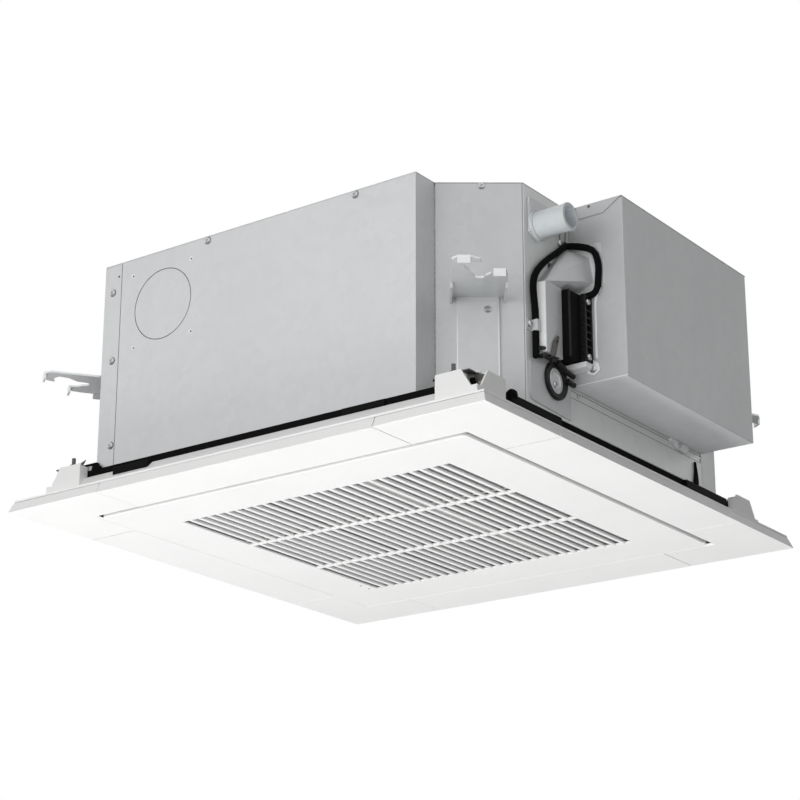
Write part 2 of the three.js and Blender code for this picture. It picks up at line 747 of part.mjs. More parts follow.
function addAtCorners(name, geometryFor, look) {
  CORNERS.forEach((corner, i) => {
    const mesh = add(name + "_" + corner, geometryFor(corner), look);
    mesh.scale.set(...CORNER_SIGNS[i], 1);
  });
}

addAtCorners("panel_bolt", panelBolt, ZINC);

const sealSection = [
  [half(PLATFORM_INNER) + SEAM, PLATFORM_TOP + TOUCH],
  [half(PLATFORM) - PANEL_WALL, PLATFORM_TOP + TOUCH],
  [half(PLATFORM) - PANEL_WALL, CASE_BOTTOM - TOUCH],
  [half(PLATFORM_INNER) + SEAM, CASE_BOTTOM - TOUCH],
];
add("panel_seal", squareRing(sealSection), BLACK_FOAM);

// ---------------------------------------------------------------- grille, filter and latches
function slots() {
  const pitch = SLOT_FIELD_X / SLOT_COUNT;
  const length = (SLOT_FIELD_Y - SLOT_RIB * (SLOT_COLUMNS - 1)) / SLOT_COLUMNS;
  const tools = [];
  for (let i = 0; i < SLOT_COUNT; i++) {
    const x = -half(SLOT_FIELD_X) + (i + 0.5) * pitch;
    for (let column = 0; column < SLOT_COLUMNS; column++) {
      const y = -half(SLOT_FIELD_Y) + column * (length + SLOT_RIB);
      tools.push(block([x - half(SLOT_WIDTH), x + half(SLOT_WIDTH)], [y, y + length], [-FAR, FAR]));
    }
  }
  return tools;
}

const grilleBack = GRILLE_FACE - GRILLE_DROP;
function intakeGrille() {
  const edge = roundedSquare(half(GRILLE), GRILLE_R);
  const inner = roundedSquare(half(GRILLE) - GRILLE_SKIRT, GRILLE_R - GRILLE_SKIRT);
  const shell = prism(edge, -GRILLE_DROP, -GRILLE_SKIRT_TOP);
  return cut(shell, prism(inner, grilleBack, 0), ...slots());
}
add("intake_grille", intakeGrille(), SLOT_GREY);

function airFilter() {
  const cell = (FILTER - 2 * FILTER_BORDER - (FILTER_CELLS - 1) * FILTER_BAR) / FILTER_CELLS;
  const cells = [];
  for (let i = 0; i < FILTER_CELLS; i++) {
    for (let j = 0; j < FILTER_CELLS; j++) {
      const [x, y] = [i, j].map((n) => -half(FILTER) + FILTER_BORDER + n * (cell + FILTER_BAR));
      cells.push(block([x, x + cell], [y, y + cell], [-FAR, FAR]));
    }
  }
  const low = grilleBack + TOUCH;
  return cut(prism(roundedSquare(half(FILTER), FILTER_BORDER), low, low + FILTER_THICK), ...cells);
}
add("air_filter", airFilter(), SLOT_GREY);

function latch(side) {
  const x = [-1, 1].map((edge) => half(side * LATCH_SPACING + edge * LATCH_WIDTH));
  const front = frameInner - SEAM;
  const low = grilleBack + TOUCH;
  const base = block(x, [front - LATCH_BASE, front], [low, low + LATCH_WALL]);
  const riser = block(x, [front - LATCH_WALL, front], [low, LATCH_WALL + TOUCH]);
  const tongue = block(x, [front - LATCH_WALL, frameInner + LATCH_TONGUE], [TOUCH, LATCH_WALL + TOUCH]);
  return join(base, riser, tongue);
}
add("grille_latch_left", latch(-1), PANEL_WHITE);
add("grille_latch_right", latch(1), PANEL_WHITE);

// ---------------------------------------------------------------- casing
const sheetTop = CASE_TOP - SHEET - TOUCH;
const chamferSlope = (STEP_Y - CHAMFER_Y) / (CASE_HALF_X - TRAY_HALF);
const chamferY = (x) => STEP_Y - (x - TRAY_HALF) * chamferSlope;
const chamferX = (y) => TRAY_HALF + (STEP_Y - y) / chamferSlope;

// Plan of the casing without its posts, counter-clockwise.
const coreOutline = [
  [-TRAY_HALF, -CASE_HALF_Y],
  [TRAY_HALF, -CASE_HALF_Y],
  [TRAY_HALF, -STEP_Y],
  [CASE_HALF_X, -CHAMFER_Y],
  [CASE_HALF_X, CHAMFER_Y],
  [TRAY_HALF, STEP_Y],
  [TRAY_HALF, CASE_HALF_Y],
  [-TRAY_HALF, CASE_HALF_Y],
  [-TRAY_HALF, STEP_Y],
  [-CASE_HALF_X, CHAMFER_Y],
  [-CASE_HALF_X, -CHAMFER_Y],
  [-TRAY_HALF, -STEP_Y],
];

const topOutline = [
  [-FRONT_POST, -CASE_HALF_Y],
  [TRAY_HALF, -CASE_HALF_Y],
  [TRAY_HALF, -STEP_Y],
  [CASE_HALF_X, -CHAMFER_Y],
  [CASE_HALF_X, SIDE_POST],
  [chamferX(SIDE_POST), SIDE_POST],
  [TRAY_HALF, STEP_Y],
  [TRAY_HALF, CASE_HALF_Y],
  [-TRAY_HALF, CASE_HALF_Y],
  [-TRAY_HALF, STEP_Y],
  [-CASE_HALF_X, CHAMFER_Y],
  [-CASE_HALF_X, -CHAMFER_Y],
  [-FRONT_POST, -chamferY(FRONT_POST)],
];
add("top_plate", prism(topOutline, CASE_TOP - SHEET, CASE_TOP), GALVANISED);

// Folded edges along the top and the bottom of a cover.
function foldedEdges(x, y) {
  const low = block(x, y, [CASE_BOTTOM, CASE_BOTTOM + SHEET]);
  const high = block(x, y, [sheetTop - SHEET, sheetTop]);
  return [low, high];
}

function frontCover() {
  const left = -FRONT_SEAM + TOUCH;
  const face = -CASE_HALF_Y;
  const plan = [
    [left, face],
    [TRAY_HALF, face],
    [TRAY_HALF, -STEP_Y - TOUCH],
    [TRAY_HALF - SHEET, -STEP_Y - TOUCH],
    [TRAY_HALF - SHEET, face + SHEET],
    [left, face + SHEET],
  ];
  const disc = (radius, from, to) =>
    rod(radius, [KNOCKOUT_X, from, KNOCKOUT_Z], [KNOCKOUT_X, to, KNOCKOUT_Z], FINE);
  const groove = cut(
    disc(KNOCKOUT_R, face - SEAM, face + KNOCKOUT_GROOVE),
    disc(KNOCKOUT_R - SEAM, face - LIP, face + LIP),
  );
  const edges = foldedEdges([left, TRAY_HALF], [face, face + LIP]);
  return cut(join(prism(plan, CASE_BOTTOM, sheetTop), ...edges), groove);
}
add("front_cover", frontCover(), GALVANISED);

function backCover() {
  const plan = [
    [-TRAY_HALF, CASE_HALF_Y],
    [-TRAY_HALF, STEP_Y + TOUCH],
    [-TRAY_HALF + SHEET, STEP_Y + TOUCH],
    [-TRAY_HALF + SHEET, CASE_HALF_Y - SHEET],
    [TRAY_HALF - SHEET, CASE_HALF_Y - SHEET],
    [TRAY_HALF - SHEET, STEP_Y + TOUCH],
    [TRAY_HALF, STEP_Y + TOUCH],
    [TRAY_HALF, CASE_HALF_Y],
  ];
  const edges = foldedEdges([-TRAY_HALF, TRAY_HALF], [CASE_HALF_Y - LIP, CASE_HALF_Y]);
  return join(prism(plan, CASE_BOTTOM, sheetTop), ...edges);
}
add("back_cover", backCover(), GALVANISED);

const sideEnd = CHAMFER_Y - 2 * TOUCH;
function leftSidePlate() {
  const x = [-CASE_HALF_X, -CASE_HALF_X + SHEET];
  const plate = block(x, [-sideEnd, sideEnd], [CASE_BOTTOM, sheetTop]);
  return join(plate, ...foldedEdges([x[0], x[0] + LIP], [-sideEnd, sideEnd]));
}
add("left_side_plate", leftSidePlate(), GALVANISED);

const hatch = block(
  [half(CASE_HALF_X), CASE_HALF_X + SEAM],
  [HATCH_FRONT, HATCH_BACK],
  [HATCH_BOTTOM, HATCH_TOP],
);
const hoseHole = rod(
  HOSE_R + RUNNING,
  [PUMP_X + 4 * HOSE_R, DRAIN_Y, DRAIN_Z],
  [CASE_HALF_X + SEAM, DRAIN_Y, DRAIN_Z],
);

function rightSidePlate() {
  const x = [CASE_HALF_X - SHEET, CASE_HALF_X];
  const y = [-sideEnd, SIDE_SEAM - TOUCH];
  const plate = block(x, y, [CASE_BOTTOM, sheetTop]);
  const edges = foldedEdges([CASE_HALF_X - LIP, CASE_HALF_X], y);
  return cut(join(plate, ...edges), hatch, hoseHole);
}
add("right_side_plate", rightSidePlate(), GALVANISED);

const hookNotchZ = [HOOK_LEVEL - HOOK_TAB - LUG, HOOK_LEVEL + HOOK_TAB];
function frontPost() {
  const plan = [
    [-FRONT_POST, -CASE_HALF_Y],
    [-FRONT_SEAM, -CASE_HALF_Y],
    [-FRONT_SEAM, -CASE_HALF_Y + SHEET],
    [-FRONT_POST + SHEET, -CASE_HALF_Y + SHEET],
    [-FRONT_POST + SHEET, -POST_BACK],
    [-FRONT_POST, -POST_BACK],
  ];
  const notch = block(
    [-FRONT_POST - LIP, -FRONT_POST + LIP],
    [-CASE_HALF_Y + LIP, 0],
    hookNotchZ,
  );
  return cut(prism(plan, CASE_BOTTOM, sheetTop), notch);
}
add("front_post", frontPost(), GALVANISED);

function sidePost() {
  const plan = [
    [CASE_HALF_X, SIDE_SEAM],
    [CASE_HALF_X, SIDE_POST],
    [POST_BACK_X, SIDE_POST],
    [POST_BACK_X, SIDE_POST - SHEET],
    [CASE_HALF_X - SHEET, SIDE_POST - SHEET],
    [CASE_HALF_X - SHEET, SIDE_SEAM],
  ];
  const notch = block([half(CASE_HALF_X), FAR], [SIDE_POST - LIP, FAR], hookNotchZ);
  return cut(prism(plan, CASE_BOTTOM, sheetTop), notch);
}
add("side_post", sidePost(), GALVANISED);

// The near corner plate runs along the chamfer; x is the distance along it, y points inwards.
const chamferLength = Math.hypot(CASE_HALF_X - TRAY_HALF, STEP_Y - CHAMFER_Y);
const chamferAngle = Math.atan(chamferSlope);
const ontoChamfer = (geometry) => geometry.rotateZ(chamferAngle).translate(TRAY_HALF, -STEP_Y, 0);
function cornerPlate(corner) {
  const strip = [SEAM, chamferLength - SEAM];
  const plate = ontoChamfer(block(strip, [0, SHEET], [CASE_BOTTOM, sheetTop]));
  const behindPost = block([CASE_HALF_X - SHEET - TOUCH, FAR], [-FAR, 0], [0, FAR]);
  return corner === "right" ? cut(plate, behindPost) : plate;
}
addAtCorners("corner_plate", cornerPlate, GALVANISED);

// ---------------------------------------------------------------- suspension hooks
function suspensionHook() {
  const plan = HOOK_OUTLINE.map(([across, out]) => [HOOK_START + across, -out]);
  const plate = prism(plan, HOOK_LEVEL, HOOK_LEVEL + HOOK_SHEET);
  const legStart = HOOK_START + half(HOOK_WIDTH - HOOK_LEG_WIDTH);
  const leg = block(
    [legStart, legStart + HOOK_LEG_WIDTH],
    [-TOUCH - HOOK_SHEET, -TOUCH],
    [HOOK_LEG_BOTTOM, HOOK_LEVEL + HOOK_SHEET],
  );
  const down = [HOOK_LEVEL - HOOK_TAB, HOOK_LEVEL + half(HOOK_SHEET)];
  const tabs = [0, HOOK_WIDTH - HOOK_SHEET].map((across) => {
    const start = HOOK_START + across;
    return block([start, start + HOOK_SHEET], [-HOOK_TAB_LENGTH, -TOUCH], down);
  });
  const tips = [
    [HOOK_LONG_TIP, HOOK_LONG_ARM],
    [HOOK_SHORT_TIP, HOOK_SHORT_ARM],
  ].map(([ends, arm]) =>
    block(
      ends.map((across) => HOOK_START + across),
      [-arm, -arm + HOOK_SHEET],
      down,
    ),
  );
  return ontoChamfer(join(plate, leg, ...tabs, ...tips));
}
addAtCorners("suspension_hook", suspensionHook, ZINC);

// ---------------------------------------------------------------- liner, pan and bell mouth
const linerOut = inset(coreOutline, SHEET + LINER_GAP);
const linerIn = inset(coreOutline, SHEET + LINER_GAP + LINER);
function insulationLiner() {
  const walls = prism(linerOut, PAN_TOP + TOUCH, LINER_TOP, [linerIn]);
  const roofHole = circle(0, 0, MOUNT_FLANGE_R + SEAM, FINE);
  const roof = prism(inset(linerOut, half(LINER)), LINER_TOP - LINER, LINER_TOP, [roofHole]);
  return cut(join(walls, roof), hatch, hoseHole);
}
add("insulation_liner", insulationLiner(), WHITE_FOAM);

function drainPan() {
  const mouth = circle(0, 0, MOUTH_R + TOUCH, FINE);
  const plate = prism(linerOut, PAN_BOTTOM, PAN_TOP, [mouth]);
  const slot = block(
    [-half(PAN_SLOT_LENGTH), half(PAN_SLOT_LENGTH)],
    [-PAN_SLOT_OUTER, -PAN_SLOT_INNER],
    [0, FAR],
  );
  const ring = squareRing([
    [TROUGH_IN, TROUGH_FLOOR],
    [TROUGH_OUT, TROUGH_FLOOR],
    [TROUGH_OUT, PAN_TOP + SEAM],
    [TROUGH_IN, PAN_TOP + SEAM],
  ]);
  const trough = common(ring, prism(linerIn, 0, FAR));
  return cut(plate, ...fourTimes(slot), trough);
}
add("drain_pan", drainPan(), WHITE_FOAM);

const mouthFoot = PAN_BOTTOM - TOUCH;
function bellmouth() {
  const flare = MOUTH_FLARE.map(([out, down]) => [THROAT_R + out, MOUTH_TOP - down]);
  const inner = [...flare, [MOUTH_R - MOUTH_WALL, mouthFoot - MOUTH_WALL]];
  const outer = [...flare.map(([r, z]) => [r + MOUTH_WALL, z]), [MOUTH_R, mouthFoot]];
  const flange = [
    [MOUTH_R + MOUTH_FLANGE, mouthFoot],
    [MOUTH_R + MOUTH_FLANGE, mouthFoot - MOUTH_WALL],
  ];
  return revolve([...outer, ...flange, ...inner.reverse()]);
}
add("bellmouth", bellmouth(), BLACK_PLASTIC);

// ---------------------------------------------------------------- fan
const atHeight = (share) => FAN_BOTTOM + share * (FAN_TOP - FAN_BOTTOM);
function blade(angle) {
  const [inner, outer] = [BLADE_START * FAN_R, FAN_R - half(FAN_SHEET)];
  const edge = (offset) =>
    Array.from({ length: BLADE_STEPS + 1 }, (_, i) => {
      const share = i / BLADE_STEPS;
      const radius = inner + (outer - inner) * share;
      const turn = angle + BLADE_SWEEP * share + offset / radius;
      return [radius * Math.cos(turn), radius * Math.sin(turn)];
    });
  const plan = [...edge(-half(FAN_SHEET)), ...edge(half(FAN_SHEET)).reverse()];
  return prism(plan, atHeight(BLADE_FOOT), FAN_TOP - half(FAN_SHEET));
}

function fanImpeller() {
  const rise = atHeight(SHROUD_RIM);
  const shroud = revolve([
    [FAN_EYE_R, FAN_BOTTOM],
    [FAN_EYE_R + FAN_SHEET, FAN_BOTTOM],
    [FAN_EYE_R + 2 * FAN_SHEET, half(FAN_BOTTOM + rise)],
    [half(FAN_EYE_R + FAN_R), rise - 2 * FAN_SHEET],
    [FAN_R, rise],
    [FAN_R, rise + FAN_SHEET],
    [half(FAN_EYE_R + FAN_R) - FAN_SHEET, rise - FAN_SHEET],
    [FAN_EYE_R + half(FAN_SHEET), half(FAN_BOTTOM + rise) + FAN_SHEET],
    [FAN_EYE_R, FAN_BOTTOM + FAN_SHEET],
  ]);
  const bore = SHAFT_R + RUNNING;
  const hub = revolve([
    [bore, FAN_TOP - 6 * FAN_SHEET],
    [FAN_HUB_R, FAN_TOP - 6 * FAN_SHEET],
    [FAN_HUB_R, FAN_TOP - FAN_SHEET],
    [FAN_R, FAN_TOP - FAN_SHEET],
    [FAN_R, FAN_TOP],
    [bore, FAN_TOP],
  ]);
  const blades = Array.from({ length: FAN_BLADES }, (_, i) => blade((2 * Math.PI * i) / FAN_BLADES));
  return join(shroud, hub, ...blades);
}
add("fan_impeller", fanImpeller(), BLACK_PLASTIC);

const fanMotor = revolve([
  [0, FAN_TOP - 7 * FAN_SHEET],
  [SHAFT_R, FAN_TOP - 7 * FAN_SHEET],
  [SHAFT_R, MOTOR_CAN_BOTTOM],
  [MOTOR_CAN_R, MOTOR_CAN_BOTTOM],
  [MOTOR_CAN_R, MOTOR_CAN_TOP],
  [0, MOTOR_CAN_TOP],
]);
add("fan_motor", fanMotor, ZINC);

const motorMount = revolve([
  [0, MOTOR_CAN_TOP + TOUCH],
  [MOUNT_FLANGE_R, MOTOR_CAN_TOP + TOUCH],
  [MOUNT_FLANGE_R, MOTOR_CAN_TOP + MOUNT_FLANGE],
  [MOUNT_R, MOTOR_CAN_TOP + MOUNT_FLANGE],
  [MOUNT_R, MOUNT_TOP - MOUNT_FLANGE],
  [MOUNT_FLANGE_R, MOUNT_TOP - MOUNT_FLANGE],
  [MOUNT_FLANGE_R, MOUNT_TOP],
  [0, MOUNT_TOP],
]);
add("motor_mount", motorMount, GALVANISED);

// ---------------------------------------------------------------- heat exchanger and pipes
function heatExchanger() {
  const inner = roundedSquare(COIL_IN, COIL_R - (COIL_OUT - COIL_IN));
  const ring = prism(roundedSquare(COIL_OUT, COIL_R), COIL_BOTTOM, COIL_TOP, [inner]);
  return cut(ring, block([COIL_END, FAR], [-FAR, -COIL_END], [0, FAR]));
}
add("heat_exchanger", heatExchanger(), FIN_ALUMINIUM);

function refrigerantPipe(radius, y, z) {
  const x = half(COIL_IN + COIL_OUT);
  const start = -COIL_END - TOUCH;
  const route = [
    [x, start, z],
    [x, start - 2 * radius, z],
    [x + 2 * radius, start - 4 * radius, z],
    [x + 6 * radius, half(y + start) - 2 * radius, z],
    [half(x + CASE_HALF_X) + 2 * radius, y, z],
    [PIPE_END_X - NUT_LENGTH, y, z],
    [PIPE_END_X - SEAM, y, z],
  ];
  const nut = rod(NUT_SHARE * radius, [PIPE_END_X - NUT_LENGTH, y, z], [PIPE_END_X, y, z], 6);
  return join(tube(route, radius, 24, 10), nut);
}
add("gas_pipe", refrigerantPipe(GAS_R, GAS_Y, GAS_Z), COPPER);
add("liquid_pipe", refrigerantPipe(LIQUID_R, LIQUID_Y, LIQUID_Z), COPPER);

// ---------------------------------------------------------------- drain pump, float switch and hose
const linerFace = SHEET + LINER_GAP + LINER + TOUCH; // depth of the liner's inner face
function drainPump() {
  const body = rod(PUMP_R, [PUMP_X, PUMP_Y, PUMP_BOTTOM], [PUMP_X, PUMP_Y, PUMP_TOP]);
  const nozzle = rod(NOZZLE_R, [PUMP_X, PUMP_Y, PUMP_TOP - SEAM], [PUMP_X, PUMP_Y, PUMP_TOP + NOZZLE]);
  const shaft = rod(PUMP_SHAFT_R, [PUMP_X, PUMP_Y, WHEEL_BOTTOM], [PUMP_X, PUMP_Y, PUMP_BOTTOM + SEAM]);
  const out = [Math.sin(chamferAngle), -Math.cos(chamferAngle)];
  const toFace = (TRAY_HALF - PUMP_X) * out[0] + (-STEP_Y - PUMP_Y) * out[1] - linerFace;
  const arm = block([half(PUMP_R), toFace], [-NOZZLE_R, NOZZLE_R], [PUMP_TOP - NOZZLE_R, PUMP_TOP])
    .rotateZ(Math.atan2(out[1], out[0]))
    .translate(PUMP_X, PUMP_Y, 0);
  return join(body, nozzle, shaft, arm);
}
add("drain_pump", drainPump(), BLACK_PLASTIC);

function pumpImpeller() {
  const bore = PUMP_SHAFT_R + RUNNING;
  const top = WHEEL_BOTTOM + PUMP_WHEEL;
  const hub = revolve(
    [
      [bore, WHEEL_BOTTOM],
      [2 * PUMP_SHAFT_R, WHEEL_BOTTOM],
      [2 * PUMP_SHAFT_R, top - PUMP_SHAFT_R],
      [PUMP_WHEEL_R, top - PUMP_SHAFT_R],
      [PUMP_WHEEL_R, top],
      [bore, top],
    ],
    ROUND,
  );
  const vane = block(
    [PUMP_SHAFT_R + SEAM, PUMP_WHEEL_R - SEAM],
    [-half(RUNNING) - half(SEAM), half(RUNNING) + half(SEAM)],
    [WHEEL_BOTTOM, top - half(PUMP_SHAFT_R)],
  );
  return join(hub, ...fourTimes(vane)).translate(PUMP_X, PUMP_Y, 0);
}
add("pump_impeller", pumpImpeller(), WHITE_FOAM);

function floatSwitch() {
  const foot = FLOAT_BOTTOM - TOUCH;
  const stem = rod(STEM_R, [FLOAT_X, FLOAT_Y, foot - STEM_COLLAR], [FLOAT_X, FLOAT_Y, STEM_TOP]);
  const collar = rod(2 * STEM_R, [FLOAT_X, FLOAT_Y, foot - STEM_COLLAR], [FLOAT_X, FLOAT_Y, foot]);
  const arm = block(
    [FLOAT_X - STEM_R, FLOAT_X + STEM_R],
    [-CASE_HALF_Y + linerFace, FLOAT_Y + STEM_R],
    [STEM_TOP - STEM_R, STEM_TOP],
  );
  return join(stem, collar, arm);
}
add("float_switch", floatSwitch(), BLACK_PLASTIC);

const floatSection = [
  [STEM_R + RUNNING, FLOAT_BOTTOM],
  [FLOAT_R, FLOAT_BOTTOM],
  [FLOAT_R, FLOAT_BOTTOM + FLOAT_HEIGHT],
  [STEM_R + RUNNING, FLOAT_BOTTOM + FLOAT_HEIGHT],
];
add("float", revolve(floatSection, ROUND, FLOAT_X, FLOAT_Y), WHITE_FOAM);

const hoseStart = PUMP_TOP + NOZZLE + TOUCH;
const hoseRoute = [
  [PUMP_X, DRAIN_Y, hoseStart],
  [PUMP_X, DRAIN_Y, hoseStart + HOSE_R],
  [PUMP_X, DRAIN_Y, DRAIN_Z - 4 * HOSE_R],
  [PUMP_X + HOSE_R, DRAIN_Y, DRAIN_Z - 1.5 * HOSE_R],
  [PUMP_X + 3 * HOSE_R, DRAIN_Y, DRAIN_Z],
  [CASE_HALF_X - HOSE_R, DRAIN_Y, DRAIN_Z],
  [CASE_HALF_X, DRAIN_Y, DRAIN_Z],
];
add("drain_hose", tube(hoseRoute, HOSE_R, 24), CLEAR_PLASTIC);

function drainSocket() {
  const wall = CASE_HALF_X + TOUCH;
  const plate = prismAlongX(
    DRAIN_PLATE_OUTLINE.map(([y, z]) => [DRAIN_Y + y, DRAIN_Z + z]),
    wall,
    wall + DRAIN_PLATE,
  );
  const spigot = rod(DRAIN_R, [wall, DRAIN_Y, DRAIN_Z], [DRAIN_END_X, DRAIN_Y, DRAIN_Z], FINE);
  const bore = rod(
    DRAIN_BORE_R,
    [wall + DRAIN_PLATE, DRAIN_Y, DRAIN_Z],
    [DRAIN_END_X + SEAM, DRAIN_Y, DRAIN_Z],
    FINE,
  );
  const mouth = rod(HOSE_R, [wall - SEAM, DRAIN_Y, DRAIN_Z], [DRAIN_END_X, DRAIN_Y, DRAIN_Z]);
  return cut(join(plate, spigot), bore, mouth);
}
add("drain_socket", drainSocket(), CLEAR_PLASTIC);

// ---------------------------------------------------------------- electrical box
const boxIn = CASE_HALF_X + TOUCH;
const boardX = boxIn + SHEET + BOARD_STANDOFF;
const boardY = half(BOX_NEAR + BOX_FAR);
function electricalBox() {
  const outer = block([boxIn, BOX_OUT], [BOX_NEAR, BOX_FAR], [BOX_BOTTOM, sheetTop]);
  const hollow = block(
    [boxIn + SHEET, BOX_OUT - SHEET],
    [BOX_NEAR + SHEET, BOX_FAR - SHEET],
    [BOX_BOTTOM + SHEET, FAR],
  );
  const shell = cut(outer, hollow);
  const posts = [-1, 1].flatMap((a) =>
    [-1, 1].map((b) => {
      const y = boardY + a * (half(BOARD_WIDTH) - BOARD_STANDOFF);
      const z = BOARD_Z + half(BOARD_HEIGHT) + b * (half(BOARD_HEIGHT) - BOARD_STANDOFF);
      return rod(half(BOARD_STANDOFF), [boxIn + half(SHEET), y, z], [boardX - TOUCH, y, z], 12);
    }),
  );
  return join(shell, ...posts);
}
add("electrical_box", electricalBox(), GALVANISED);

function electricalBoxCover() {
  const near = BOX_NEAR - TOUCH - SHEET;
  const far = BOX_FAR + TOUCH + SHEET;
  const plate = block([boxIn, BOX_OUT], [near, far], [CASE_TOP - SHEET, CASE_TOP]);
  const skirtStart = CASE_HALF_X + BOX_LID_SKIRT_START;
  const skirt = [
    [skirtStart, CASE_TOP],
    [BOX_OUT - SHEET, CASE_TOP],
    [BOX_OUT - 2 * BOX_LID_EDGE, CASE_TOP - BOX_LID_EDGE],
    [BOX_OUT - BOX_LID_TAPER * BOX_DEPTH, CASE_TOP - BOX_LID_SKIRT],
    [skirtStart, CASE_TOP - BOX_LID_SKIRT],
  ];
  return join(plate, prismAlongY(skirt, near, near + SHEET), prismAlongY(skirt, far - SHEET, far));
}
add("electrical_box_cover", electricalBoxCover(), GALVANISED);

const board = block(
  [boardX, boardX + BOARD],
  [boardY - half(BOARD_WIDTH), boardY + half(BOARD_WIDTH)],
  [BOARD_Z, BOARD_Z + BOARD_HEIGHT],
);
add("circuit_board", board, BOARD_GREEN);

const terminalX = BOX_OUT - SHEET - TOUCH - TERMINAL_DEPTH;
const terminalZ = BOX_BOTTOM + SHEET + TOUCH;
const terminalBlock = block(
  [terminalX, terminalX + TERMINAL_DEPTH],
  [TERMINAL_END - TERMINAL_LENGTH, TERMINAL_END],
  [terminalZ, terminalZ + TERMINAL_HEIGHT],
);
add("terminal_block", terminalBlock, BLACK_PLASTIC);

// ---------------------------------------------------------------- pipe cover and its foam
function pipeCover() {
  const corner = BOX_NEAR - TOUCH;
  const hull = new ConvexGeometry(
    [
      [boxIn, COVER_EDGE_Y, COVER_SHOULDER],
      [COVER_FRONT_X, COVER_EDGE_Y, COVER_SHOULDER],
      [COVER_OUT_X, corner, COVER_OUT_LOW],
      [COVER_OUT_X - COVER_LEAN, corner, COVER_OUT_TOP],
      [boxIn, COVER_APEX_Y, COVER_APEX],
      [boxIn, corner, COVER_APEX],
      [boxIn, corner, COVER_SHOULDER],
    ].map((p) => new THREE.Vector3(...p)),
  );
  const inside = hull.clone().translate(-COVER_WALL, COVER_WALL, COVER_WALL);
  const hood = cut(hull, inside);
  const channel = cut(
    block([boxIn, COVER_FRONT_X], [COVER_EDGE_Y, COVER_CHANNEL_Y], [COVER_BOTTOM, COVER_SHOULDER + SEAM]),
    block(
      [0, COVER_FRONT_X - COVER_WALL],
      [COVER_EDGE_Y + COVER_WALL, COVER_CHANNEL_Y - COVER_WALL],
      [COVER_BOTTOM + COVER_WALL, FAR],
    ),
  );
  return { solid: join(hull, channel), shell: join(hood, channel) };
}
const cover = pipeCover();
add("pipe_cover", cover.shell, GALVANISED);

function pipeGasket() {
  const x = boxIn + half(FOAM);
  const y = BOX_NEAR - TOUCH - half(FOAM);
  const rise = FOAM_RISE.map(([aside, z]) => [x, BOX_NEAR - aside, z]);
  const route = [...rise, ...FOAM_FALL.map(([out, z]) => [CASE_HALF_X + out, y, z])];
  const strip = tube(route, half(FOAM), 40, 8);
  const room = [0, 1, 2].map((axis) =>
    cover.solid.clone().translate(...[TOUCH, -TOUCH, TOUCH].map((v, i) => (i === axis ? v : 0))),
  );
  const wall = block([0, boxIn], [-FAR, FAR], [0, FAR]);
  const box = block([0, FAR], [BOX_NEAR - TOUCH, FAR], [0, FAR]);
  return cut(strip, cover.solid, ...room, wall, box);
}
add("pipe_gasket", pipeGasket(), BLACK_FOAM);

// ---------------------------------------------------------------- wiring entry and cable clamp
function wiringEntry() {
  const y = [COVER_CHANNEL_Y + TOUCH, BOX_NEAR - TOUCH];
  const x = [boxIn, COVER_FRONT_X + ENTRY_REACH];
  const body = block(x, y, [ENTRY_Z, ENTRY_Z + ENTRY_HEIGHT]);
  const pitch = (y[1] - y[0]) / ENTRY_GROOVES;
  const grooves = Array.from({ length: ENTRY_GROOVES }, (_, i) => {
    const middle = y[0] + (i + 0.5) * pitch;
    return block(
      [x[1] - half(pitch), FAR],
      [middle - pitch / 4, middle + pitch / 4],
      [ENTRY_Z + half(pitch), ENTRY_Z + ENTRY_HEIGHT - half(pitch)],
    );
  });
  return cut(body, ...grooves);
}
add("wiring_entry", wiringEntry(), BLACK_PLASTIC);

function cableClamp() {
  const [low, high] = [boxIn, boxIn + CLAMP_THICK];
  const disc = (radius, from, to) =>
    rod(radius, [from, CLAMP_Y, CLAMP_Z], [to, CLAMP_Y, CLAMP_Z], FINE);
  return cut(disc(CLAMP_R, low, high), disc(CLAMP_BORE_R, low + half(CLAMP_THICK), high + SEAM));
}
add("cable_clamp", cableClamp(), BLACK_PLASTIC);

export default assembly;
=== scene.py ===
"""Looks of the ceiling cassette air conditioner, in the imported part's frame. MM turns mm into metres."""
import json
import math

import bmesh
import bpy
from mathutils import Matrix, Vector


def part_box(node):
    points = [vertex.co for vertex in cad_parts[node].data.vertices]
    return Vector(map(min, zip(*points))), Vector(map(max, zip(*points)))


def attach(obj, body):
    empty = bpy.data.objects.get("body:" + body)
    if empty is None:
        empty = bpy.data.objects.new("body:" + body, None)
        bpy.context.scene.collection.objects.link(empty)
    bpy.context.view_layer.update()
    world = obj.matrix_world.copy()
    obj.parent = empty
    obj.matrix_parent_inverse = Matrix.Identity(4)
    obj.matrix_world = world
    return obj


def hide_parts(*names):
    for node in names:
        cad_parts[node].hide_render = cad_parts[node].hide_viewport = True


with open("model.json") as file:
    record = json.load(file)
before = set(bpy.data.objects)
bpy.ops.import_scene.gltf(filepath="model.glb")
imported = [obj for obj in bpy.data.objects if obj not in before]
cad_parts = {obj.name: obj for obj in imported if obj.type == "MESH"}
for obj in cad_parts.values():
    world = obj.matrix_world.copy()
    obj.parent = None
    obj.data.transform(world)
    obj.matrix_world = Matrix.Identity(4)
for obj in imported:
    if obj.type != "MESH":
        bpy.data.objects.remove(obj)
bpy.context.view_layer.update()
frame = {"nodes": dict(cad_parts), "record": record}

MM = 0.001
ROOT = "unit"
FORWARD = Vector((0, -1, 0))
SIDEWARD = Vector((1, 0, 0))
UPWARD = Vector((0, 0, 1))

# How far the dressed faces lie from the solids' faces, in mm. It brings the panel nearer to one level.
FLAP_LOWER = 2.8
GRILLE_RAISE = 0.8

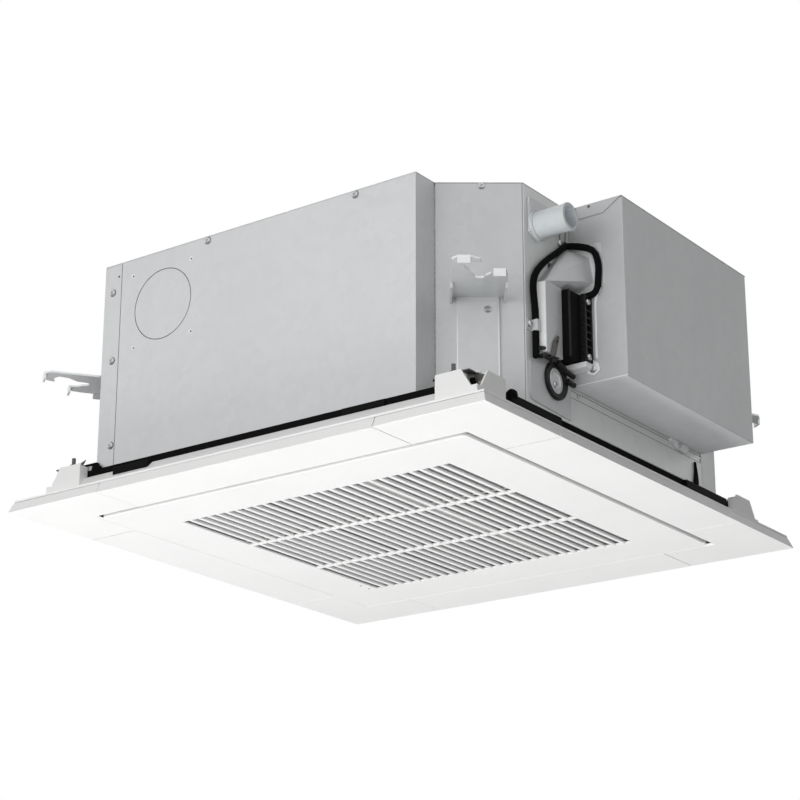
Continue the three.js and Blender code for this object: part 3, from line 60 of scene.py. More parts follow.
# ---------------------------------------------------------------- driving sizes, most of them from the frame
CASE_LOW, CASE_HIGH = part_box("front_cover")
FRONT_Y = CASE_LOW[1]
SIDE_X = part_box("right_side_plate")[1][0]
STEP_X = CASE_HIGH[0]
CASE_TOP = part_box("top_plate")[1][2]
BOX_LOW, BOX_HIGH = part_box("electrical_box")
NEAR_FACE_Y = BOX_LOW[1]
COVER_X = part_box("pipe_cover")[0][0]
BLOCK_LOW, BLOCK_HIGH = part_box("wiring_entry")
CLAMP_LOW, CLAMP_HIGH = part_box("cable_clamp")
SOCKET_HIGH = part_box("drain_socket")[1]
FILTER_LOW, FILTER_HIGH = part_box("air_filter")

# These are in mm.
DRAIN_Y, DRAIN_Z = -176, 255
GRILLE_SOLID_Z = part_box("intake_grille")[0][2] / MM
GRILLE_FACE_Z = GRILLE_SOLID_Z + GRILLE_RAISE
FLAP_SOLID_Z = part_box("flap_front")[0][2] / MM
FLAP_PIN = 5.5
FLAP_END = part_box("flap_front")[1][0] / MM - FLAP_PIN
KNOCK_OUT = (-159, 230.5)
LINE_HEIGHT = 0.12

# The near corner's chamfer, from its front edge to its rear edge.
CHAMFER_START = Vector((222 * MM, -260 * MM, 0))
CHAMFER_END = Vector((304 * MM, -200 * MM, 0))
ALONG = (CHAMFER_END - CHAMFER_START).normalized()
OUTWARD = Vector((ALONG.y, -ALONG.x, 0))
CORNER_SIGNS = {"near": (1, 1), "right": (1, -1), "far": (-1, -1), "left": (-1, 1)}


def mm(x, y, z):
    return Vector((x, y, z)) * MM


def mirrored(corner, vector):
    along_x, along_y = CORNER_SIGNS[corner]
    return Vector((along_x * vector.x, along_y * vector.y, vector.z))


def on_chamfer(corner, along, height, out=0.0):
    """A point of a corner plate: along it, up from the ceiling, and out from it, in mm."""
    place = CHAMFER_START + ALONG * along * MM + OUTWARD * out * MM + Vector((0, 0, height * MM))
    return mirrored(corner, place)


def on_side(y, z, out=0.0):
    """A point in front of the right side plate, in mm."""
    return Vector((SIDE_X + out * MM, y * MM, z * MM))


def on_near_face(x, z, out=0.0):
    """A point in front of the near face of the electrical box, in mm."""
    return Vector((x * MM, NEAR_FACE_Y - out * MM, z * MM))


# ---------------------------------------------------------------- camera
CAMERA_PLACE = Vector((1.5640, -2.1538, -0.7829))
CAMERA_RIGHT = Vector((0.80654, 0.59117, 0.00177))
CAMERA_DOWN = Vector((-0.19552, 0.26958, -0.94292))
CAMERA_AHEAD = Vector((-0.55790, 0.76016, 0.33302))
FOCAL_PIXELS = 2222.94
PICTURE_PIXELS = 800
SENSOR = 36.0


def add_camera():
    data = bpy.data.cameras.new("camera")
    data.sensor_width = SENSOR
    data.lens = FOCAL_PIXELS / PICTURE_PIXELS * SENSOR
    data.clip_end = 100
    camera = bpy.data.objects.new("camera", data)
    turn = Matrix((CAMERA_RIGHT, -CAMERA_DOWN, -CAMERA_AHEAD)).transposed()
    camera.matrix_world = Matrix.Translation(CAMERA_PLACE) @ turn.to_4x4()
    bpy.context.collection.objects.link(camera)
    bpy.context.scene.camera = camera


# ---------------------------------------------------------------- shader helpers
class Shader:
    """A node material built round one Principled shader."""

    def __init__(self, name, roughness=0.5, metallic=0.0, bump_reach=0.0002):
        self.material = bpy.data.materials.new(name)
        self.material.use_nodes = True
        self.nodes = self.material.node_tree.nodes
        self.links = self.material.node_tree.links
        self.surface = self.nodes["Principled BSDF"]
        self.surface.inputs["Roughness"].default_value = roughness
        self.surface.inputs["Metallic"].default_value = metallic
        self.bump_reach = bump_reach
        place = self.nodes.new("ShaderNodeTexCoord")
        self.place = place.outputs["Object"]
        self.last_bump = None

    def set(self, **values):
        for name, value in values.items():
            self.surface.inputs[name.replace("_", " ")].default_value = value
        return self

    def stretched(self, scale):
        mapping = self.nodes.new("ShaderNodeMapping")
        mapping.inputs["Scale"].default_value = scale
        self.links.new(self.place, mapping.inputs["Vector"])
        return mapping.outputs["Vector"]

    def noise(self, scale, detail=3.0, stretch=(1, 1, 1)):
        node = self.nodes.new("ShaderNodeTexNoise")
        node.inputs["Scale"].default_value = scale
        node.inputs["Detail"].default_value = detail
        self.links.new(self.stretched(stretch), node.inputs["Vector"])
        return node.outputs["Fac"]

    def cells(self, scale):
        node = self.nodes.new("ShaderNodeTexVoronoi")
        node.inputs["Scale"].default_value = scale
        self.links.new(self.place, node.inputs["Vector"])
        split = self.nodes.new("ShaderNodeSeparateColor")
        self.links.new(node.outputs["Color"], split.inputs["Color"])
        return split.outputs["Red"]

    def wave(self, scale, direction):
        node = self.nodes.new("ShaderNodeTexWave")
        node.bands_direction = direction
        node.inputs["Scale"].default_value = scale
        self.links.new(self.place, node.inputs["Vector"])
        return node.outputs["Fac"]

    def ramp(self, value, low, high, start=0.3, end=0.7):
        node = self.nodes.new("ShaderNodeValToRGB")
        first, last = node.color_ramp.elements
        first.position, last.position = start, end
        first.color = (*low, 1)
        last.color = (*high, 1)
        self.links.new(value, node.inputs["Fac"])
        return node.outputs["Color"]

    def blend(self, value, first, second):
        node = self.nodes.new("ShaderNodeMix")
        node.data_type = "RGBA"
        self.links.new(value, node.inputs["Factor"])
        self.links.new(first, node.inputs[6])
        self.links.new(second, node.inputs[7])
        return node.outputs[2]

    def colour(self, output):
        self.links.new(output, self.surface.inputs["Base Color"])
        return self

    def vary_roughness(self, value, low, high):
        node = self.nodes.new("ShaderNodeMapRange")
        node.inputs["To Min"].default_value = low
        node.inputs["To Max"].default_value = high
        self.links.new(value, node.inputs["Value"])
        self.links.new(node.outputs["Result"], self.surface.inputs["Roughness"])
        return self

    def bump(self, height, strength):
        node = self.nodes.new("ShaderNodeBump")
        node.inputs["Strength"].default_value = strength
        node.inputs["Distance"].default_value = self.bump_reach
        self.links.new(height, node.inputs["Height"])
        if self.last_bump:
            self.links.new(self.last_bump, node.inputs["Normal"])
        self.last_bump = node.outputs["Normal"]
        self.links.new(self.last_bump, self.surface.inputs["Normal"])
        return self


def grey(level, tint=(1.0, 1.0, 1.0)):
    return tuple(level * share for share in tint)


def moulded(name, level, tint=(1.0, 1.0, 1.0), roughness=0.4, grain=0.12):
    """Injection-moulded plastic: fine grain, faint sink marks and a little unevenness in colour."""
    shader = Shader(name, roughness)
    patch = shader.noise(9, 4)
    shader.colour(shader.ramp(patch, grey(level * 0.97, tint), grey(level, tint)))
    shader.vary_roughness(shader.noise(60, 4), roughness - 0.06, roughness + 0.08)
    shader.bump(shader.noise(1400, 2), grain)
    shader.bump(shader.noise(14, 2), 0.06)
    return shader


def sheet_metal(name, level, tint, metallic, roughness):
    """Zinc-coated sheet: pale crystals, rolling marks and a few dull patches."""
    shader = Shader(name, roughness, metallic)
    crystals = shader.ramp(shader.cells(95), grey(level * 0.955, tint), grey(level * 1.02, tint), 0.0, 1.0)
    clouds = shader.ramp(shader.noise(5, 5), grey(level * 0.95, tint), grey(level * 1.03, tint))
    shader.colour(shader.blend(shader.noise(22, 3), crystals, clouds))
    shader.vary_roughness(shader.noise(45, 5, (1, 1, 0.15)), roughness - 0.07, roughness + 0.1)
    shader.bump(shader.noise(900, 3), 0.05)
    shader.bump(shader.noise(7, 2), 0.12)
    return shader


def foam(name, level, roughness=0.92):
    shader = Shader(name, roughness, bump_reach=0.0006)
    pores = shader.noise(520, 5)
    shader.colour(shader.ramp(pores, grey(level * 0.6), grey(level * 1.1)))
    shader.bump(pores, 0.6)
    shader.bump(shader.noise(60, 3), 0.25)
    return shader


def fins(name):
    shader = Shader(name, 0.38, 0.7, bump_reach=0.001)
    lines = shader.wave(160, "Z")
    shader.colour(shader.ramp(lines, grey(0.25), grey(0.62), 0.1, 0.6))
    shader.bump(lines, 0.5)
    shader.bump(shader.noise(80, 3), 0.1)
    return shader


def circuit(name):
    shader = Shader(name, 0.35)
    tracks = shader.ramp(shader.cells(260), (0.01, 0.09, 0.035), (0.03, 0.17, 0.06), 0.45, 0.5)
    patches = shader.ramp(shader.noise(40, 2), (0.012, 0.08, 0.03), (0.02, 0.13, 0.05))
    shader.colour(shader.blend(shader.noise(90, 1), tracks, patches))
    shader.bump(shader.cells(260), 0.3)
    return shader


def copper(name):
    shader = Shader(name, 0.3, 0.9)
    shader.colour(shader.ramp(shader.noise(35, 5), (0.42, 0.17, 0.08), (0.62, 0.29, 0.15)))
    shader.vary_roughness(shader.noise(120, 4), 0.22, 0.42)
    shader.bump(shader.noise(600, 2, (1, 1, 0.1)), 0.05)
    return shader


def milky(name):
    shader = Shader(name, 0.28)
    shader.colour(shader.ramp(shader.noise(18, 3), (0.58, 0.62, 0.65), (0.66, 0.70, 0.72)))
    shader.set(Subsurface_Weight=0.6, Subsurface_Scale=0.008, Subsurface_Radius=(0.9, 1.0, 1.1))
    shader.vary_roughness(shader.noise(70, 3), 0.22, 0.36)
    shader.bump(shader.noise(300, 2), 0.05)
    return shader


def net(name):
    """Woven filter net."""
    shader = Shader(name, 0.75)
    warp = shader.ramp(shader.wave(115, "X"), grey(0.34), grey(0.6))
    weft = shader.ramp(shader.wave(115, "Y"), grey(0.34), grey(0.6))
    shader.colour(shader.blend(shader.noise(900, 1), warp, weft))
    shader.bump(shader.wave(115, "X"), 0.4)
    shader.bump(shader.wave(115, "Y"), 0.4)
    return shader


COOL = (0.985, 1.0, 1.012)
COLD = (1.0, 1.0, 1.03)
LOOKS = {
    "panel_white": moulded("panel_white", 0.86, (1.0, 1.0, 0.993)),
    "slot_grey": moulded("slot_grey", 0.42, (1.0, 0.965, 0.96), 0.6, 0.3),
    "galvanised": sheet_metal("galvanised", 0.62, COOL, 0.25, 0.44),
    "zinc": sheet_metal("zinc", 0.80, (0.98, 1.0, 1.01), 0.55, 0.3),
    "black_foam": foam("black_foam", 0.006).set(Specular_IOR_Level=0.08),
    "black_plastic": moulded("black_plastic", 0.01, COLD, 0.45, 0.25).set(Specular_IOR_Level=0.3),
    "white_foam": foam("white_foam", 0.78, 0.85),
    "fins": fins("fins"),
    "copper": copper("copper"),
    "pale_plastic": milky("pale_plastic"),
    "circuit_green": circuit("circuit_green"),
    # The dark steel look is the own colour of the wires, lever and bolt plates, and painted shade in seams,
    # grooves, holes, pits and the rings round screws.
    "dark_steel_and_painted_shade": sheet_metal("dark_steel_and_painted_shade", 0.12, (1.03, 1.0, 0.96), 0.6, 0.4),
    # The pale sheet look is the own colour of small plates and brackets, and painted highlight and painted
    # light on the bottom edges, the rib, the dimple rims and the box's underside.
    "pale_sheet_and_painted_light": sheet_metal("pale_sheet_and_painted_light", 0.8, COOL, 0.15, 0.38),
    "screw_steel": sheet_metal("screw_steel", 0.6, (0.97, 1.0, 1.02), 0.92, 0.27),
    # Copies of the galvanised sheet in other tones: darker for the corner plates and the electrical box, as
    # painted shade, and lighter for the right side plate, as painted light.
    "corner_sheet_painted_shade": sheet_metal("corner_sheet_painted_shade", 0.575, COOL, 0.25, 0.44),
    "box_sheet_painted_shade": sheet_metal("box_sheet_painted_shade", 0.525, COOL, 0.25, 0.44),
    "side_sheet_painted_light": sheet_metal("side_sheet_painted_light", 0.74, (0.98, 1.0, 0.995), 0.25, 0.44),
    # The deep black look is the rubber pads' own black, and painted shade on the wiring block's base, where
    # it stands for a deep recess.
    "deep_black": moulded("deep_black", 0.004, (1.0, 1.0, 1.0), 0.7, 0.25).set(Specular_IOR_Level=0.1),
    "net": net("net"),
    "brass": sheet_metal("brass", 0.22, (1.2, 0.95, 0.8), 0.7, 0.4),
}
# Nodes whose look isn't that of their slot, among them the painted shade and painted light copies of the
# galvanised sheet.
LOOK_OF = {
    "electrical_box": "box_sheet_painted_shade",
    "electrical_box_cover": "box_sheet_painted_shade",
    "right_side_plate": "side_sheet_painted_light",
    "intake_grille": "panel_white",
}
LOOK_OF.update({"corner_plate_" + corner: "corner_sheet_painted_shade" for corner in CORNER_SIGNS})
SLOT_OF = {entry["node"]: entry["material_slot"] for entry in frame["record"]["subparts"]}
BODY_OF = {
    node: body
    for body, nodes in frame["record"]["behaviour"]["bodies"].items()
    for node in nodes
}


# ---------------------------------------------------------------- mesh helpers
SMOOTH_ANGLE = math.radians(34)
BEVEL_ANGLE = math.radians(28)
BEVEL_SEGMENTS = 2
EDGE_BEVEL = 0.4 * MM


def finish_piece(obj, look, body=ROOT, bevel=0.0):
    """Gives a piece its material, its softened edges and its body."""
    obj.data.materials.clear()
    obj.data.materials.append(LOOKS[look].material)
    bpy.context.collection.objects.link(obj)
    if obj.type == "MESH":
        for face in obj.data.polygons:
            face.use_smooth = True
        obj.data.set_sharp_from_angle(angle=SMOOTH_ANGLE)
    if bevel:
        edge = obj.modifiers.new("edge", "BEVEL")
        edge.width = bevel
        edge.segments = BEVEL_SEGMENTS
        edge.limit_method = "ANGLE"
        edge.angle_limit = BEVEL_ANGLE
        edge.use_clamp_overlap = True
        edge.harden_normals = False
        level = obj.modifiers.new("level", "WEIGHTED_NORMAL")
        level.keep_sharp = True
    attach(obj, body)
    return obj


def from_bmesh(name, bm):
    mesh = bpy.data.meshes.new(name)
    bmesh.ops.recalc_face_normals(bm, faces=bm.faces)
    bm.to_mesh(mesh)
    bm.free()
    return bpy.data.objects.new(name, mesh)


# In mm. The panel's faces are known by their height, and their inner edges by their place.
FACE_SLACK = 0.1
FACE_DEPTH = 3.5
EDGE_AT = 273.5
EDGE_SLACK = 0.2
EDGE_SLANT = 2.9
FLAPS = tuple("flap_" + side for side in ("front", "right", "back", "left"))


def level_faces(node, bm):
    """Lowers the faces of flaps and covers, slants their inner edges and raises the grille's face."""
    if node == "intake_grille":
        for vert in bm.verts:
            if vert.co.z < (GRILLE_SOLID_Z + FACE_SLACK) * MM:
                vert.co.z += GRILLE_RAISE * MM
    if node in FLAPS or node.startswith("corner_cover"):
        for vert in bm.verts:
            lowest = vert.co.z < (FLAP_SOLID_Z + FACE_SLACK) * MM
            if vert.co.z < (FLAP_SOLID_Z + FACE_DEPTH) * MM:
                vert.co.z -= FLAP_LOWER * MM
            for axis in (0, 1):
                if lowest and abs(abs(vert.co[axis]) - EDGE_AT * MM) < EDGE_SLACK * MM:
                    vert.co[axis] += math.copysign(EDGE_SLANT * MM, vert.co[axis])


WELD = 2e-6
FLAT_ANGLE = math.radians(0.5)


def softened(node, bevel, look=None):
    """A CAD node's form with planar faces joined, edges rounded and the panel's faces levelled."""
    bm = bmesh.new()
    bm.from_mesh(frame["nodes"][node].data)
    bmesh.ops.remove_doubles(bm, verts=bm.verts, dist=WELD)
    bmesh.ops.dissolve_limit(bm, angle_limit=FLAT_ANGLE, verts=bm.verts, edges=bm.edges)
    level_faces(node, bm)
    obj = from_bmesh(node + "_skin", bm)
    finish_piece(obj, look or SLOT_OF[node], BODY_OF[node], bevel)
    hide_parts(node)
    return obj


def extruded(name, points, offset, look, body=ROOT, bevel=EDGE_BEVEL):
    """A flat outline, given as points in space, pushed along a vector."""
    bm = bmesh.new()
    face = bm.faces.new([bm.verts.new(p) for p in points])
    grown = bmesh.ops.extrude_face_region(bm, geom=[face])
    moved = [v for v in grown["geom"] if isinstance(v, bmesh.types.BMVert)]
    bmesh.ops.translate(bm, verts=moved, vec=offset)
    return finish_piece(from_bmesh(name, bm), look, body, bevel=bevel)


def bar(name, low, high, look, body=ROOT, bevel=EDGE_BEVEL):
    """A block between two corners."""
    x0, y0, z0 = low
    x1, y1, z1 = high
    points = [Vector(p) for p in ((x0, y0, z0), (x1, y0, z0), (x1, y1, z0), (x0, y1, z0))]
    return extruded(name, points, Vector((0, 0, z1 - z0)), look, body, bevel)


def turned_mesh(profile, sides):
    """Radius and height turned about Z. The profile starts and ends on the axis or closes on itself."""
    bm = bmesh.new()
    rings = []
    for radius, height in profile:
        if radius == 0:
            rings.append([bm.verts.new((0, 0, height))] * sides)
            continue
        ring = []
        for i in range(sides):
            angle = math.tau * i / sides
            ring.append(bm.verts.new((radius * math.cos(angle), radius * math.sin(angle), height)))
        rings.append(ring)
    closed = profile[0][0] > 0
    pairs = list(zip(rings, rings[1:])) + ([(rings[-1], rings[0])] if closed else [])
    for lower, upper in pairs:
        for i in range(sides):
            j = (i + 1) % sides
            corners = []
            for vert in (lower[i], lower[j], upper[j], upper[i]):
                if vert not in corners:
                    corners.append(vert)
            if len(corners) > 2:
                bm.faces.new(corners)
    return bm


def scaled(profile):
    """A profile given in millimetres, in metres."""
    return [(radius * MM, height * MM) for radius, height in profile]


def pointing(place, direction):
    """Moves the origin to a place and turns Z to a direction."""
    turn = Vector(direction).to_track_quat("Z", "Y").to_matrix().to_4x4()
    return Matrix.Translation(place) @ turn


def turned(name, profile, place, direction, look, body=ROOT, sides=32):
    bm = turned_mesh(profile, sides)
    bmesh.ops.transform(bm, matrix=pointing(place, direction), verts=bm.verts)
    return finish_piece(from_bmesh(name, bm), look, body)


def strand(name, points, radius, look):
    """A round wire or strip along points."""
    curve = bpy.data.curves.new(name, "CURVE")
    curve.dimensions = "3D"
    curve.bevel_depth = radius
    curve.bevel_resolution = 3
    curve.use_fill_caps = True
    spline = curve.splines.new("NURBS")
    spline.points.add(len(points) - 1)
    for point, place in zip(spline.points, points):
        point.co = (*place, 1)
    spline.use_endpoint_u = True
    spline.order_u = 3
    spline.resolution_u = 6
    return finish_piece(bpy.data.objects.new(name, curve), look)


# ---------------------------------------------------------------- screws
SCREW_R = 4.2 * MM
SCREW_PROFILE = [
    (0, -0.2), (0.95, -0.2), (1, 0), (1, 0.14),
    (0.9, 0.36), (0.62, 0.52), (0.3, 0.58), (0, 0.6),
]
CROSS_SIZE = (1.05, 0.2, 0.5)
CROSS_HEIGHT = 0.55
SPIN_STEP = 0.4


def screw_mesh():
    """Pan head with a cross recess, radius 1, standing on z = 0."""
    head = turned_mesh(SCREW_PROFILE, 28)
    dome = from_bmesh("screw_head", head)
    cross = bmesh.new()
    for turn in (0, math.pi / 2):
        made = bmesh.ops.create_cube(cross, size=1)
        shape = Matrix.Rotation(turn, 4, "Z") @ Matrix.Diagonal((*CROSS_SIZE, 1))
        upright = Matrix.Translation((0, 0, CROSS_HEIGHT)) @ shape
        bmesh.ops.transform(cross, matrix=upright, verts=made["verts"])
    tool = from_bmesh("screw_cross", cross)
    for obj in (dome, tool):
        bpy.context.collection.objects.link(obj)
    carve = dome.modifiers.new("carve", "BOOLEAN")
    carve.object = tool
    carve.operation = "DIFFERENCE"
    carve.solver = "EXACT"
    carve.use_self = True
    bpy.context.view_layer.update()
    mesh = bpy.data.meshes.new_from_object(dome.evaluated_get(bpy.context.evaluated_depsgraph_get()))
    for obj in (dome, tool):
        bpy.data.objects.remove(obj)
    return mesh


SCREW = screw_mesh()


def screw(name, place, direction, radius=SCREW_R):
    """A screw whose recess is turned by an angle that comes from its name."""
    mesh = SCREW.copy()
    spin = Matrix.Rotation(sum(map(ord, name)) % 7 * SPIN_STEP, 4, "Z")
    mesh.transform(pointing(place, direction) @ spin @ Matrix.Scale(radius, 4))
    return finish_piece(bpy.data.objects.new(name, mesh), "screw_steel")


# ---------------------------------------------------------------- casing details
def front_face(x, z):
    return Vector((x * MM, FRONT_Y, z * MM))


def flat_piece(name, place, outline, offset, look, bevel=0.3):
    """A flat piece: `place` turns each pair of the outline into a point. Offset and bevel are in mm."""
    return extruded(name, [place(*pair) for pair in outline], offset * MM, look, bevel=bevel * MM)


def raised(place, out):
    """The same way to place a pair, further out by a distance in mm."""
    return lambda *pair: place(*pair, out)


def rectangle(low, high):
    """The corners between two pairs, as an outline."""
    return [low, (high[0], low[1]), high, (low[0], high[1])]


# Painted shadow: a dark ring round a screw's head.
SCREW_SHADOW_RING = scaled([(0, -0.2), (4.9, -0.2), (4.9, 0.08), (0, 0.08)])

# Heights and places of screws, and how far the hooks' legs stand out, in mm.
ROW_HIGH, ROW_LOW = 294, 46
LID_SCREWS = ((-200, -280), (195, -280), (-200, 280), (200, 280), (-290, 0), (290, 0))
MOTOR_SCREW_REACH = 48
BOX_LID_X = 360
LEG_FACE_OUT = 2.85
LEG_SCREW_OUT = 3.1


def casing_screws():
    """Screws of the casing, its lids, the hooks and the fan motor."""
    front = {
        "post_top": (-243, 264),
        "post_middle": (-239.5, 173),
        "post_low": (-235, 62.5),
        "edge_left": (-88.5, 295.5),
        "edge_right": (136, 296),
    }
    for name, (x, z) in front.items():
        # Each front screw sits on a dark ring of painted shadow.
        turned("screw_shadow_ring_front_" + name, SCREW_SHADOW_RING, front_face(x, z), FORWARD, "dark_steel_and_painted_shade", sides=24)
        screw("screw_front_" + name, front_face(x, z), FORWARD)
    for corner in CORNER_SIGNS:
        away = mirrored(corner, OUTWARD)
        screw("screw_top_" + corner, on_chamfer(corner, 54, 297), away)
        screw("screw_leg_upper_" + corner, on_chamfer(corner, 59.5, 143.7, LEG_SCREW_OUT), away)
        screw("screw_leg_lower_" + corner, on_chamfer(corner, 47.5, 66, LEG_SCREW_OUT), away)
    for i, x in enumerate((-190, -60, 60, 190)):
        screw("screw_back_high_%d" % i, mm(x, -FRONT_Y / MM, ROW_HIGH), -FORWARD)
        screw("screw_back_low_%d" % i, mm(x, -FRONT_Y / MM, ROW_LOW), -FORWARD)
    for i, y in enumerate((-170, 0, 170)):
        for level, z in (("high", ROW_HIGH), ("low", ROW_LOW)):
            screw("screw_left_%s_%d" % (level, i), mm(-SIDE_X / MM, y, z), -SIDEWARD)
    for i, (x, y) in enumerate(LID_SCREWS):
        screw("screw_lid_%d" % i, mm(x, y, CASE_TOP / MM), UPWARD)
    for i in range(4):
        angle = math.radians(45 + 90 * i)
        x, y = MOTOR_SCREW_REACH * math.cos(angle), MOTOR_SCREW_REACH * math.sin(angle)
        screw("screw_motor_%d" % i, mm(x, y, CASE_TOP / MM), UPWARD, 5 * MM)
    for i, y in enumerate((-60, 60, 180)):
        screw("screw_box_lid_%d" % i, mm(BOX_LID_X, y, CASE_TOP / MM), UPWARD, 3.6 * MM)


def dimples():
    """Pressings of the front cover, its knock-out's groove, its left seam and a hole in the post: pale rims
    as painted highlight, and dark pits, groove, seam line and hole as painted shade.
    """
    rim = scaled([(0, -0.3), (2.6, -0.3), (2.9, 0.05), (2.2, 0.5), (1.2, 0.2), (0, 0.1)])
    pit = scaled([(0, -0.3), (1.3, -0.3), (1.3, 0.52), (0, 0.52)])
    for i, (x, z) in enumerate(((-210, 279), (-115, 279), (-112, 184), (-205, 183))):
        turned("knock_out_dimple_%d" % i, rim, front_face(x, z), FORWARD, "pale_sheet_and_painted_light", sides=20)
        turned("knock_out_pit_%d" % i, pit, front_face(x + 1, z - 0.8), FORWARD, "dark_steel_and_painted_shade", sides=16)
    groove = scaled([(45.2, -0.3), (45.9, -0.3), (45.9, 0.04), (45.2, 0.04)])
    turned("knock_out_groove", groove, front_face(*KNOCK_OUT), FORWARD, "dark_steel_and_painted_shade", sides=64)
    seam = rectangle((-229.4, 35), (-228.6, 300))
    flat_piece("front_seam_line", front_face, seam, FORWARD * 0.1, "dark_steel_and_painted_shade", 0)
    hole = scaled([(0, -0.4), (1.6, -0.4), (1.6, 0.08), (0, 0.08)])
    turned("seam_hole", hole, front_face(-234, 284), FORWARD, "dark_steel_and_painted_shade", sides=20)


def hook_legs():
    """Galvanised face of each hook's leg; the leg's own bright edges stay in sight."""
    for corner in CORNER_SIGNS:
        flat_piece(
            "hook_leg_face_" + corner,
            lambda along, height: on_chamfer(corner, along, height, LEG_FACE_OUT),
            rectangle((26, 63), (71, 154)),
            mirrored(corner, OUTWARD) * 0.25,
            "galvanised",
            0.1,
        )


# ---------------------------------------------------------------- drain socket
DRAIN_TRIM = 3.4
DRAIN_PLATE_OUT = 3.1


def drain_details():
    """Rim, foot and flange of the drain socket, and the two wires beside it."""
    centre = mm(0, DRAIN_Y, DRAIN_Z)
    tip = SOCKET_HIGH[0] - DRAIN_TRIM * MM
    rim = scaled([(15.8, 0), (16.9, 0.5), (17.1, 1.7), (16.6, 3), (15.4, 3.5), (14.2, 3.2), (14.2, 1)])
    turned("drain_rim", rim, centre + Vector((tip, 0, 0)), SIDEWARD, "pale_plastic", sides=48)
    foot = scaled([(15.6, 0), (18.6, 0), (18.2, 1.2), (16.6, 3.4), (15.6, 3.6)])
    root = centre + Vector((SIDE_X + DRAIN_TRIM * MM, 0, 0))
    turned("drain_foot", foot, root, SIDEWARD, "pale_plastic", sides=48)
    flange = [
        (-192.4, 276), (-189, 282), (-181, 286.4), (-156, 286.6), (-147, 283), (-142.6, 278),
        (-142.6, 252.8), (-169.6, 235.6), (-186, 240.6), (-191.4, 245.6),
    ]
    flat_piece("drain_flange_face", raised(on_side, DRAIN_PLATE_OUT), flange, SIDEWARD * 0.5, "galvanised")
    screw("screw_drain_plate", on_side(-185.5, 247.8, DRAIN_PLATE_OUT + 0.5), SIDEWARD, 3.4 * MM)
    wires = {
        "near": [(-120, 274), (-122.5, 268.6), (-127, 259), (-124, 253)],
        "far": [(-111, 275), (-113.5, 268), (-113.8, 258), (-115, 252)],
    }
    for name, route in wires.items():
        strand("drain_wire_" + name, [on_side(y, z, 2) for y, z in route], 0.7 * MM, "dark_steel_and_painted_shade")
    screw("screw_wire", on_side(-123.9, 252, 0.8), SIDEWARD)
    lump = [(0, 0), (3.2, 0.2), (4.2, 1.6), (3.6, 3.8), (1.6, 4.8), (0, 5)]
    turned("wire_grommet", scaled(lump), on_side(-114.5, 252.6), SIDEWARD, "black_plastic", sides=20)


# ---------------------------------------------------------------- details round the pipe cover
def near_face_details():
    """Pressings and fittings on the near face of the electrical box; its pale rib and bottom lip are painted
    highlight and its lid hole painted shade.
    """
    field = [
        (314.5, 250.6), (345.4, 250.6), (348, 248.4), (348.2, 229.5), (352, 225), (351.7, 199),
        (346, 190.8), (338, 185.6), (314.5, 185.6),
    ]
    flat_piece("raised_field", on_near_face, field, FORWARD * 1.0, "galvanised", 0.5)
    # The rib and its arched end are paler than the box's sheet: painted highlight.
    rib = [(336.6, 108), (339.3, 108), (339.6, 176), (336.9, 176)]
    flat_piece("rib_painted_highlight", on_near_face, rib, FORWARD * 1.4, "pale_sheet_and_painted_light", 0.5)
    arch = [
        (336.9, 175), (339.6, 175), (340.4, 182), (342.6, 187),
        (346, 190), (345.5, 192), (341, 190), (338, 185),
    ]
    flat_piece("rib_end_painted_highlight", on_near_face, arch, FORWARD * 1.4, "pale_sheet_and_painted_light", 0.4)
    bracket = [(323.7, 105.1), (329.6, 109.9), (340.8, 101.4), (342.4, 93.2), (334.6, 87.9), (325.2, 91.7)]
    flat_piece("bracket_tongue", raised(on_near_face, 0.4), bracket, FORWARD * 1.2, "pale_sheet_and_painted_light")
    screw("screw_bracket", on_near_face(333.9, 95, 1.6), FORWARD, 4.6 * MM)
    screw("screw_tongue", on_near_face(330.2, 107.5, 1.6), FORWARD, 2.6 * MM)
    # A dark disc for the lid's hole: painted shade.
    hole = scaled([(0, -0.4), (1.9, -0.4), (1.9, 0.06), (0, 0.06)])
    turned("lid_hole", hole, on_near_face(333.6, 298.5, 1.5), FORWARD, "dark_steel_and_painted_shade", sides=20)
    # A pale strip on the box's bottom lip: painted highlight.
    lip = rectangle((BOX_LOW[0] / MM, 79.2), (BOX_HIGH[0] / MM, 80.6))
    flat_piece("box_bottom_lip_painted_highlight", on_near_face, lip, FORWARD * 0.7, "pale_sheet_and_painted_light")
    shelf_low = (COVER_X, BLOCK_HIGH[1] - 16.7 * MM, 94.2 * MM)
    bar("block_shelf", shelf_low, (BLOCK_HIGH[0], NEAR_FACE_Y, 100.8 * MM), "pale_sheet_and_painted_light")


